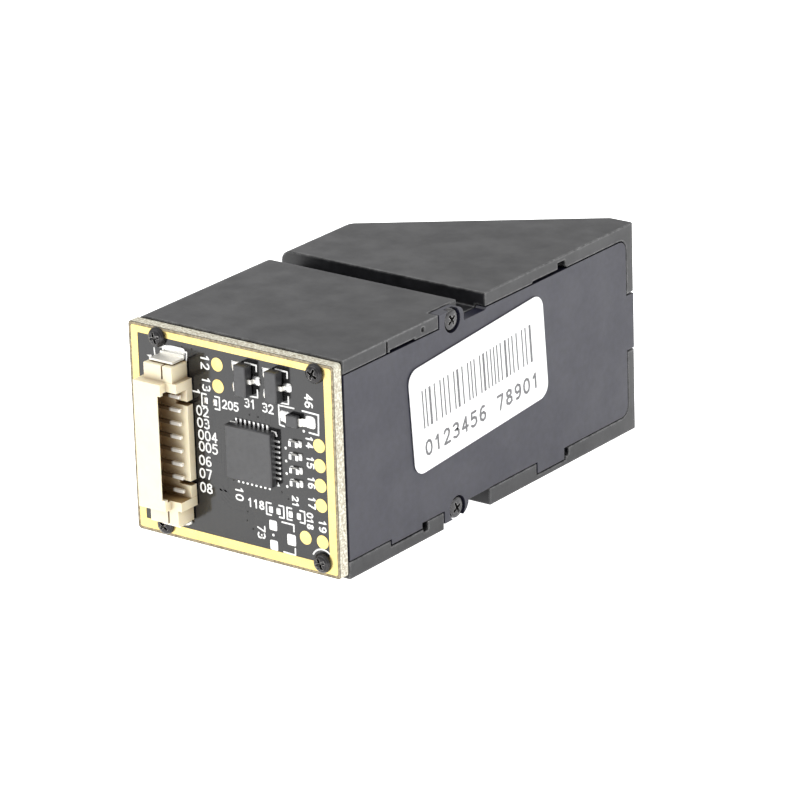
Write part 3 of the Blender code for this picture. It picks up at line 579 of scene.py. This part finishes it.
def turned(bm, profile, segments=40):
    """A turned solid about Z through (radius, height) points, from its top centre to its bottom centre."""
    rings = []
    for radius, height in profile:
        ring = circle((0.0, 0.0), radius, segments) if radius else [(0.0, 0.0)]
        rings.append([bm.verts.new((x, y, height)) for x, y in ring])
    for upper, lower in zip(rings, rings[1:]):
        for index in range(segments):
            ahead = (index + 1) % segments
            corners = [upper[index % len(upper)], lower[index % len(lower)], lower[ahead % len(lower)]]
            corners.append(upper[ahead % len(upper)])
            bm.faces.new(list(dict.fromkeys(corners)))


# ---------------------------------------------------------------- pieces
def linked(name, bm):
    """A new object in the scene from this mesh, which is used up."""
    made = bpy.data.objects.new(name, bpy.data.meshes.new(name))
    bm.to_mesh(made.data)
    bm.free()
    scene.collection.objects.link(made)
    return made


def piece(name, bm, paint, stands_for=(), smooth=35.0, bevel=0.0, segments=2, clamp=True):
    """A finished object from a mesh in module millimetres, riding on the module's one body."""
    bmesh.ops.recalc_face_normals(bm, faces=bm.faces)
    bm.transform(MODULE)
    made = linked(name, bm)
    for each in paint if isinstance(paint, tuple) else (paint,):
        made.data.materials.append(each)
    made.data.shade_smooth()
    made.data.set_sharp_from_angle(angle=math.radians(smooth))
    if bevel > 0.0:
        soften(made, bevel, segments, clamp)
    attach(made, "root")
    if stands_for:
        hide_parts(*stands_for)
    return made


def soften(made, width, segments, clamp):
    """A live bevel on the sharp edges, its width in millimetres."""
    step = made.modifiers.new("soft_edges", "BEVEL")
    step.width = width * MM
    step.segments = segments
    step.limit_method = "ANGLE"
    step.angle_limit = math.radians(38)
    step.use_clamp_overlap = clamp
    step.harden_normals = True


def node_mesh(node):
    """A CAD node's shape in module millimetres, with its flat faces whole again."""
    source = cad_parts[node].data
    bm = bmesh.new()
    corners = [bm.verts.new((vertex.co - CORNER) / MM) for vertex in source.vertices]
    for face in source.polygons:
        bm.faces.new([corners[index] for index in face.vertices])
    bmesh.ops.remove_doubles(bm, verts=bm.verts, dist=0.002)
    bmesh.ops.dissolve_limit(bm, angle_limit=math.radians(0.4), verts=bm.verts, edges=bm.edges)
    return bm


def refined(node, paint, bevel=0.08, segments=2, clamp=True):
    """The CAD node's own shape with softened edges and its finish."""
    mesh = node_mesh(node)
    return piece(f"{node}_fine", mesh, paint, (node,), bevel=bevel, segments=segments, clamp=clamp)


floor_mesh = bmesh.new()
bmesh.ops.create_circle(floor_mesh, cap_ends=True, segments=96, radius=1500.0)
floor_mesh.transform(Matrix.Scale(MM, 4))
floor = linked("floor", floor_mesh)
floor.data.materials.append(FLOOR)
floor.location.z = -0.01 * MM

# ---------------------------------------------------------------- housing and cover
refined("housing", BODY_PLASTIC, 0.08, segments=3, clamp=False)
refined("side_cover", COVER_PLASTIC, 0.035, clamp=False)

# ---------------------------------------------------------------- screws
THREAD_START = -0.2
THREAD_STEP = 0.36
THREAD_ROOT = 0.78      # of the shank's radius
POINT_LENGTH = 0.7
POINT_R = 0.3
# The cross recess: half length and half width of a wing at the top and at its floor
CROSS_TOP = (0.62, 0.14)
CROSS_FLOOR = (0.2, 0.06)
CROSS_DEPTH = 0.36
# Heads as (radius, height) points from the top's edge down to the underside
PAN_HEAD = [(0.34, 0.52), (0.56, 0.485), (0.74, 0.39), (0.85, 0.25), (0.9, 0.1), (0.9, 0.0)]
CHEESE_HEAD = [(0.45, 0.45), (0.72, 0.43), (0.9, 0.36), (0.98, 0.24), (1.0, 0.1), (1.0, 0.0)]
TO_REAR = Vector((0, -1, 0))
TO_COVER = Vector((1, 0, 0))


def screw_mesh(head, shank, length):
    """A cross-head screw along Z, with its head's underside at height 0."""
    top = head[0][1]
    profile = [(0.0, top)] + head + [(shank, -0.02)]
    depth = THREAD_START
    while depth > POINT_LENGTH - length:
        profile += [(shank, depth), (THREAD_ROOT * shank, depth - THREAD_STEP / 2)]
        depth -= THREAD_STEP
    profile += [(POINT_R, -length), (0.0, -length)]
    blank_mesh = bmesh.new()
    turned(blank_mesh, profile)
    bmesh.ops.recalc_face_normals(blank_mesh, faces=blank_mesh.faces)
    blank = linked("blank", blank_mesh)
    wings = []
    for quarter in (0.0, math.pi / 2):
        cutter = bmesh.new()
        bmesh.ops.create_cube(cutter, size=1.0)
        for vertex in cutter.verts:
            upper = vertex.co.z > 0
            half_length, half_width = CROSS_TOP if upper else CROSS_FLOOR
            vertex.co.x *= 2 * half_length
            vertex.co.y *= 2 * half_width
            vertex.co.z = top + 0.02 if upper else top - CROSS_DEPTH
        cutter.transform(Matrix.Rotation(quarter, 4, "Z"))
        wings.append(linked("wing", cutter))
        step = blank.modifiers.new("cross", "BOOLEAN")
        step.object = wings[-1]
        step.solver = "EXACT"
    bpy.context.view_layer.update()
    solid = bpy.data.meshes.new_from_object(blank.evaluated_get(bpy.context.evaluated_depsgraph_get()))
    for spare in [blank, *wings]:
        bpy.data.objects.remove(spare, do_unlink=True)
    bm = bmesh.new()
    bm.from_mesh(solid)
    return bm


def driven_screw(node, head, shank, length, facing, turn, paint):
    """A detailed screw in place of the CAD one, its cross turned by degrees about its axis."""
    low, high = in_module(node)
    middle = (low + high) / 2
    top = head[0][1]
    bm = screw_mesh(head, shank, length)
    aimed = facing.to_track_quat("Z", "Y").to_matrix() @ Matrix.Rotation(math.radians(turn), 3, "Z")
    seat = Vector((
        high.x - top if facing.x > 0.5 else middle.x,
        low.y + top if facing.y < -0.5 else middle.y,
        middle.z,
    ))
    bm.transform(Matrix.Translation(seat) @ aimed.to_4x4())
    piece(f"{node}_fine", bm, paint, (node,), smooth=28.0, bevel=0.02)


for number, turn in enumerate((20, 65, 25, 50), 1):
    driven_screw(f"board_screw_{number}", PAN_HEAD, 0.5, 5.0, TO_REAR, turn, ZINC)
for end, turn in (("top", 35), ("bottom", 28)):
    driven_screw(f"cover_screw_{end}", CHEESE_HEAD, 0.55, 4.2, TO_COVER, turn, GREY_ZINC)

# ---------------------------------------------------------------- circuit board
BOARD_LOW, BOARD_HIGH = in_module("circuit_board")
FACE = BOARD_LOW.y
SUNK = 0.02             # how far a flat shape on the board reaches into it
BACK_SHIFT = 0.06       # the board's back face, moved towards the housing
RIM_T = 0.006
GOLD_INSET = 0.3
GOLD_INNER = (0.37, 20.75, 1.5, 18.88)
GOLD_T = 0.03
PAD_R = 0.63
PADS = [
    (9.16, 17.55), (9.17, 15.56), (18.18, 3.46), (20.02, 12.28), (20.02, 10.45), (20.02, 8.64),
    (20.02, 6.8), (20.02, 3.44),
]
VIA_R = 0.11
VIAS = [
    (5.29, 18.4), (6.4, 18.42), (12.52, 13.6), (13.44, 13.59), (10.44, 7.19), (15.72, 7.14),
    (11.76, 3.67), (12.4, 3.02), (11.85, 4.54), (16.44, 6.66),
]
TRACE_W = 0.18
TRACE_T = 0.006
DAB_STEP = 0.0015


def inset(distance):
    """The board's outline moved in by this distance: low X, high X, low Z and high Z."""
    low, high = BOARD_LOW, BOARD_HIGH
    return (low.x + distance, high.x - distance, low.z + distance, high.z - distance)


def board_piece():
    """The board: lacquer on its two faces, bare laminate round its edge and along the outer rim."""
    bm = node_mesh("circuit_board")
    for face in bm.faces:
        face.material_index = 0 if abs(face.normal.y) > 0.9 else 1
    for vertex in bm.verts:
        if vertex.co.y > BOARD_HIGH.y - 0.01:
            vertex.co.y += BACK_SHIFT
    piece("circuit_board_fine", bm, (MASK, LAMINATE), ("circuit_board",), bevel=0.03)
    rim = bmesh.new()
    framed(rim, inset(0.06), 0.25, inset(0.4), 0.15, RIM_T)
    piece("bare_rim", rim, RIM_LAMINATE)


def printed(bm, outline, thickness):
    """A flat shape that stands this far proud of the board's face."""
    prism(bm, outline, FACE + SUNK, FACE - thickness, "Y")


def dabs(stroke, width, thickness):
    """A pen stroke's straight dabs as outline and thickness, no two that meet at the same height."""
    for index, ends in enumerate(zip(stroke, stroke[1:]), start=len(stroke)):
        yield ribbon(ends, width), thickness - DAB_STEP * (index % 4)


def pen_line(bm, stroke, width, thickness):
    """A pen stroke on the board's face."""
    for outline, height in dabs(stroke, width, thickness):
        printed(bm, outline, height)


def framed(bm, outer, outer_radius, inner, inner_radius, thickness):
    """A flat frame on the board between two rounded rectangles (low X, high X, low Z, high Z)."""
    rings = []
    for (x0, x1, z0, z1), radius in ((outer, outer_radius), (inner, inner_radius)):
        loop = rounded([(x0, z0), (x1, z0), (x1, z1), (x0, z1)], radius)
        for y in (FACE + SUNK, FACE - thickness):
            rings.append([bm.verts.new((x, y, z)) for x, z in loop])
    for first, second in ((0, 1), (1, 3), (3, 2), (2, 0)):
        bridge(bm, rings[first], rings[second])


def gold_border():
    """A bare plated frame along the board's rim."""
    bm = bmesh.new()
    framed(bm, inset(GOLD_INSET), 0.2, GOLD_INNER, 0.08, GOLD_T)
    piece("gold_border", bm, GOLD, bevel=0.012)


def test_pads():
    bm = bmesh.new()
    for pad in PADS:
        printed(bm, circle(pad, PAD_R, 40), GOLD_T)
    piece("test_pads", bm, GOLD, bevel=0.012)


def tented_holes():
    """Small filled vias, a shade darker than the lacquer."""
    bm = bmesh.new()
    for via in VIAS:
        printed(bm, circle(via, VIA_R, 16), 0.004)
    piece("tented_vias", bm, HOLE)


def traces():
    """Copper tracks that stand out a little under the lacquer."""
    bm = bmesh.new()
    routes = []
    for lane in range(6):
        x = 8.2 + 0.3 * lane
        z = 12.2 - 1.25 * lane
        chip_z = 11.6 - 0.5 * lane
        routes.append([(7.0, z), (x, z), (x, chip_z), (10.1, chip_z)])
    for lane in range(4):
        x = 13.2 + 0.5 * lane
        routes.append([(x, 13.3), (x, 13.9 + 0.2 * lane), (x + 0.7, 14.7 + 0.2 * lane), (x + 0.7, 15.3)])
    for lane in range(4):
        z = 6.4 - 0.42 * lane
        x = 12.6 - 0.3 * lane
        routes.append([(8.9, z), (9.9, z - 0.8), (x, z - 0.8), (x + 0.6, z - 1.5)])
    for route in routes:
        pen_line(bm, route, TRACE_W, TRACE_T)
    piece("covered_traces", bm, MASK)


board_piece()
gold_border()
test_pads()
tented_holes()
traces()

# ---------------------------------------------------------------- printed marks and bare pads
INK_T = 0.014
PEN = 0.15
DOT_R = 0.13
ARC_R = 1.2             # of the printed arc round a screw
SOLDER_BASE = FACE + 0.005
SOT_MIDDLES = [middle_of("transistor_1"), middle_of("transistor_2")]
SOT_LEAD_Z = 0.95       # from a transistor's middle to each lead of its pair
DIODE_MIDDLE = middle_of("diode")
# The flat chip's terminals: how many on a side, their pitch, the distance of their middles from
# the chip's, width and length, and height over the board
TERMINALS = 8
TERMINAL_PITCH = 0.485
TERMINAL_REACH = 2.68
TERMINAL_SIZE = (0.23, 0.62)
TERMINAL_T = 0.14
END_CAP = 0.28          # length of a chip resistor's tinned end
# Corner lines round the parts and next to the pads
CORNER_LINES = [
    [(2.17, 17.73), (2.28, 16.77)],
    [(2.83, 17.97), (5.82, 18.01), (5.74, 17.2)],
    [(18.33, 15.13), (20.06, 15.09), (20.0, 13.24), (19.0, 13.28)],
    [(17.43, 15.16), (15.77, 15.14), (15.81, 13.37), (16.3, 13.3)],
    [(15.62, 4.36), (16.92, 4.35), (16.9, 3.74)],
    [(15.7, 1.6), (16.96, 1.55), (16.98, 2.17)],
    [(14.9, 12.56), (15.33, 12.53), (15.42, 12.24)],
    [(10.4, 12.56), (11.0, 12.62)],
]
BRACKET_LIP = 0.5
# Brackets round pairs of pads: low X, low Z, width and height
BRACKETS = ((7.3, 13.4, 1.95, 1.14), (13.97, 4.76, 1.9, 1.08), (16.23, 4.76, 1.92, 1.08))
# Numbers: digits, middle, height and turn
NUMBERS = [
    ("205", (10.45, 14.03), 0.72, 0), ("31", (12.62, 14.65), 0.76, 0), ("32", (14.58, 14.6), 0.76, 0),
    ("46", (19.06, 16.15), 0.78, -90), ("10", (11.03, 6.0), 0.78, -90), ("118", (12.82, 5.45), 0.72, 0),
    ("21", (17.2, 6.57), 0.6, -90), ("73", (13.3, 2.94), 0.76, -90),
    ("12", (7.83, 17.5), 0.84, -90), ("13", (7.86, 15.5), 0.8, -90), ("1", (6.7, 14.6), 0.76, -90),
    ("02", (7.3, 12.9), 0.84, 0), ("03", (7.33, 11.78), 0.84, 0), ("004", (7.76, 10.68), 0.84, 0),
    ("005", (7.78, 9.6), 0.84, 0), ("06", (7.36, 8.3), 0.84, 0), ("07", (7.34, 7.08), 0.84, 0),
    ("08", (7.34, 5.77), 0.84, 0),
    ("14", (18.98, 12.4), 0.68, -90), ("15", (19.0, 10.55), 0.68, -90), ("16", (19.03, 8.7), 0.68, -90),
    ("17", (19.0, 6.85), 0.68, -90), ("018", (18.72, 5.1), 0.6, -90), ("19", (20.07, 4.9), 0.7, -90),
]
# Marks beside the connector's and the chip's first pins
TRIANGLES = [
    [(1.3, 16.95), (1.85, 16.62), (1.85, 17.05)],
    [(15.26, 7.6), (15.58, 7.63), (15.38, 7.98)],
]
DOTS = [(18.41, 13.3), (14.61, 2.93), (16.36, 11.34), (16.36, 10.15), (16.36, 9.0), (16.36, 7.8)]
# Bare pads: middle, width and height
BARE_PADS = [((x, 5.27), 0.44, 0.62) for x in (14.45, 15.28, 16.6, 17.5)]
BARE_PADS += [((x, 13.97), 0.44, 0.62) for x in (7.72, 8.75)]
BARE_PADS += [((14.62, 3.83), 0.85, 0.95), ((14.64, 1.98), 0.85, 0.95), ((16.6, 2.9), 0.95, 1.05)]
DIODE_PADS = [((16.4, 14.2), 1.1, 1.15), ((19.12, 14.23), 1.15, 1.15)]


def silk_marks():
    """Outlines of the parts, pin marks and plain numbers."""
    strokes = list(CORNER_LINES)
    for middle in SOT_MIDDLES:
        x, z = middle.x, middle.z
        strokes.append([(x - 0.8, z + 1.3), (x - 1.5, z + 1.27), (x - 1.5, z + 0.65)])
        strokes.append([(x - 0.1, z + 1.42), (x + 1.15, z + 1.4), (x + 1.13, z + 0.85)])
        strokes.append([(x + 1.16, z - 0.85), (x + 1.16, z - 1.52), (x + 0.35, z - 1.56)])
    for left_x, low_z, width, height in BRACKETS:
        for x, inward in ((left_x, 1), (left_x + width, -1)):
            strokes.append([
                (x + BRACKET_LIP * inward, low_z),
                (x, low_z),
                (x, low_z + height),
                (x + BRACKET_LIP * inward, low_z + height),
            ])
    screw = middle_of("board_screw_3")
    arc = [math.radians(turn) for turn in range(8, 160, 12)]
    strokes.append([(screw.x + ARC_R * math.cos(turn), screw.z + ARC_R * math.sin(turn)) for turn in arc])
    for digits, middle, height, turn in NUMBERS:
        strokes += written(digits, middle, height, turn)
    bm = bmesh.new()
    for stroke in strokes:
        pen_line(bm, stroke, PEN, INK_T)
    for outline in TRIANGLES + [circle(dot, DOT_R, 16) for dot in DOTS]:
        printed(bm, outline, INK_T)
    piece("board_print", bm, INK)


def solder_areas():
    """Solder on bare pads and round the leads."""
    bm = bmesh.new()
    for middle, width, height in BARE_PADS:
        mound(bm, middle, width, height, 0.08, SOLDER_BASE, squareness=0.25)
    for middle in SOT_MIDDLES:
        for x, z in ((-1.1, SOT_LEAD_Z), (-1.1, -SOT_LEAD_Z), (1.12, 0.0)):
            mound(bm, (middle.x + x, middle.z + z), 0.95, 0.85, 0.3, SOLDER_BASE)
    for middle, width, height in DIODE_PADS:
        mound(bm, middle, width, height, 0.14, SOLDER_BASE)
    for number in range(1, 5):
        low, high = in_module(f"resistor_{number}")
        for x in (low.x + 0.02, high.x - 0.02):
            mound(bm, (x, (low.z + high.z) / 2), 0.46, 0.66, 0.22, SOLDER_BASE)
    for number in range(1, 9):
        low, high = in_module(f"contact_{number}")
        mound(bm, (low.x + 0.3, (low.z + high.z) / 2), 1.5, 0.62, 0.2, SOLDER_BASE)
    upper = in_module("solder_clip_2")
    lower = in_module("solder_clip_1")
    clip_x = (upper[0].x + upper[1].x) / 2
    mound(bm, (clip_x, upper[1].z + 0.05), 2.5, 1.0, 0.09, SOLDER_BASE, squareness=0.25)
    mound(bm, (clip_x, lower[0].z + 0.05), 1.9, 0.8, 0.25, SOLDER_BASE)
    piece("solder", bm, SOLDER, smooth=60.0)


def chip_terminals():
    """The flat chip's terminals along its four sides."""
    middle = middle_of("controller_chip")
    bm = bmesh.new()
    for side in range(4):
        turn = Matrix.Rotation(math.pi / 2 * side, 2)
        for index in range(TERMINALS):
            along = TERMINAL_PITCH * (index - (TERMINALS - 1) / 2)
            corners = rectangle((along, TERMINAL_REACH), *TERMINAL_SIZE)
            outline = [turn @ Vector(corner) for corner in corners]
            printed(bm, [(middle.x + p.x, middle.z + p.y) for p in outline], TERMINAL_T)
    piece("chip_terminals", bm, SOLDER, bevel=0.05)


def component_leads():
    """Bent leads of the two transistors and the flat ends of the diode."""
    bm = bmesh.new()
    for middle in SOT_MIDDLES:
        for side, z in ((-1, middle.z + SOT_LEAD_Z), (-1, middle.z - SOT_LEAD_Z), (1, middle.z)):
            x = middle.x + side * 0.6
            path = [(x, FACE - 0.62), (x + side * 0.3, FACE - 0.6), (x + side * 0.42, FACE - 0.12),
                    (x + side * 0.75, FACE - 0.1)]
            prism(bm, ribbon(path, 0.13), z - 0.2, z + 0.2, "Z")
    for side in (-1, 1):
        x = DIODE_MIDDLE.x + side * 0.6
        path = [(x, FACE - 0.3), (x + side * 0.2, FACE - 0.28), (x + side * 0.28, FACE - 0.1),
                (x + side * 0.55, FACE - 0.09)]
        prism(bm, ribbon(path, 0.1), DIODE_MIDDLE.z - 0.35, DIODE_MIDDLE.z + 0.35, "Z")
    piece("component_leads", bm, CONTACT, bevel=0.02)


def chip_resistors():
    """Ceramic blocks with tinned ends and a dark glaze."""
    for number in range(1, 5):
        node = f"resistor_{number}"
        low, high = in_module(node)
        middle = (low + high) / 2
        centre = (middle.x, middle.z)
        long, wide = high.x - low.x, high.z - low.z
        block = bmesh.new()
        prism(block, rectangle(centre, long - 0.04, wide - 0.04), low.y + 0.03, high.y, "Y")
        piece(f"{node}_fine", block, CERAMIC, (node,), bevel=0.02)
        ends = bmesh.new()
        for x in (low.x + END_CAP / 2, high.x - END_CAP / 2):
            prism(ends, rectangle((x, middle.z), END_CAP, wide), low.y, high.y, "Y")
        piece(f"{node}_ends", ends, SOLDER, bevel=0.04)
        glaze = bmesh.new()
        prism(glaze, rectangle(centre, 0.42, wide - 0.08), low.y + 0.04, low.y + 0.012, "Y")
        piece(f"{node}_glaze", glaze, EPOXY)


silk_marks()
solder_areas()
chip_terminals()
component_leads()
chip_resistors()
for node in ("controller_chip", "transistor_1", "transistor_2", "diode"):
    refined(node, EPOXY, 0.04)

# ---------------------------------------------------------------- connector
# The mouth, whose faces get a browner material as painted shade: low and high X and Y, and its middle and
# half length in Z
MOUTH_X = (3.2, 5.3)
MOUTH_Y = (-3.95, -1.9)
MOUTH_Z = 9.925
MOUTH_HALF = 5.1


def connector_piece():
    """The connector, its mouth faces given a browner material as painted shade."""
    bm = node_mesh("connector_housing")
    for face in bm.faces:
        middle = face.calc_center_median()
        inside = MOUTH_X[0] < middle.x < MOUTH_X[1] and MOUTH_Y[0] < middle.y < MOUTH_Y[1]
        if inside and abs(middle.z - MOUTH_Z) < MOUTH_HALF:
            face.material_index = 1
    paints = (NYLON, MOUTH_SHADE_NYLON)
    piece("connector_housing_fine", bm, paints, ("connector_housing",), bevel=0.03)


connector_piece()
for number in range(1, 9):
    refined(f"contact_{number}", SHADED_CONTACT, 0.035)
for number in (1, 2):
    refined(f"solder_clip_{number}", CONTACT, 0.04)

# ---------------------------------------------------------------- label
LABEL_LOW, LABEL_HIGH = in_module("label")
LABEL_MIDDLE = middle_of("label")
LABEL_TURN = 4.2
LABEL_SIZE = (20.1, 9.9)
LABEL_CORNER = 1.3
BAR_SPAN = (-8.4, 8.9)
BAR_RISE = (-0.92, 2.68)
BAR_WIDTHS = (0.18, 0.18, 0.3, 0.18, 0.3, 0.18)
BAR_GAPS = (0.3, 0.46, 0.3, 0.36, 0.66)
LABEL_DIGITS = "0123456 78901"
DIGITS_MIDDLE = (0.1, -2.85)
DIGITS_HEIGHT = 1.3
DIGITS_PITCH = 1.03
DIGITS_PEN = 0.25
PRINT_T = 0.012
PRINT_SUNK = 0.01
PRINT_BASE = LABEL_HIGH.x - PRINT_T


def on_label(point):
    """A point measured along and up the label, as (Y, Z) on the cover."""
    turned_point = Matrix.Rotation(math.radians(LABEL_TURN), 2) @ Vector(point)
    return (LABEL_MIDDLE.y + turned_point.x, LABEL_MIDDLE.z + turned_point.y)


def label_piece():
    bm = bmesh.new()
    corners = rounded(rectangle((0.0, 0.0), *LABEL_SIZE), LABEL_CORNER, 12)
    prism(bm, [on_label(point) for point in corners], LABEL_LOW.x, PRINT_BASE, "X")
    piece("label_fine", bm, PAPER, ("label",), bevel=0.02)


def label_print():
    """Plain bars that stand for a code, and a row of digits that means nothing."""
    shapes = []
    low, high = BAR_RISE
    along = BAR_SPAN[0]
    index = 0
    while along < BAR_SPAN[1] - 0.5:
        width = BAR_WIDTHS[(index * index + 2 * index) % len(BAR_WIDTHS)]
        bar = [(along, low), (along + width, low), (along + width, high), (along, high)]
        shapes.append((bar, PRINT_T))
        along += width + BAR_GAPS[(3 * index + index // 4) % len(BAR_GAPS)]
        index += 1
    for stroke in written(LABEL_DIGITS, DIGITS_MIDDLE, DIGITS_HEIGHT, pitch=DIGITS_PITCH):
        shapes += dabs(stroke, DIGITS_PEN, PRINT_T)
    bm = bmesh.new()
    for outline, height in shapes:
        corners = [on_label(point) for point in outline]
        prism(bm, corners, PRINT_BASE - PRINT_SUNK, PRINT_BASE + height, "X")
    piece("label_print", bm, PRINT)


label_piece()
label_print()

# ---------------------------------------------------------------- window and inner parts
refined("touch_ring", STEEL, 0.06)
refined("prism", PRISM_GLASS, 0.12)
refined("lens_holder", HOLDER_PLASTIC, 0.1)
refined("ir_filter", FILTER_GLASS, 0.04)
refined("image_sensor", EPOXY, 0.05)
refined("flash_chip", EPOXY, 0.06)
refined("crystal", CAN, 0.12, segments=3)
refined("lamp_board", LAMP_MASK, 0.04)
for number in range(1, 5):
    refined(f"lamp_{number}", LAMP_LENS, 0.1, segments=3)
refined("diffuser", ACRYLIC, 0.05)
refined("lamp_cable", FILM, 0.02)


LENS_EDGE = 0.35        # half the lens's thickness at its rim
LENS_RINGS = 12


def lens_piece():
    """A double-convex lens on the Y axis, in place of the faceted one."""
    low, high = in_module("lens")
    radius = (high.x - low.x) / 2
    bulge = (high.y - low.y) / 2 - LENS_EDGE
    profile = []
    for step in range(LENS_RINGS + 1):
        share = step / LENS_RINGS
        profile.append((radius * share, LENS_EDGE + bulge * (1 - share * share)))
    profile += [(r, -h) for r, h in reversed(profile)]
    bm = bmesh.new()
    turned(bm, profile, 48)
    bm.transform(Matrix.Translation((low + high) / 2) @ Matrix.Rotation(math.pi / 2, 4, "X"))
    piece("lens_fine", bm, LENS_GLASS, ("lens",))


lens_piece()
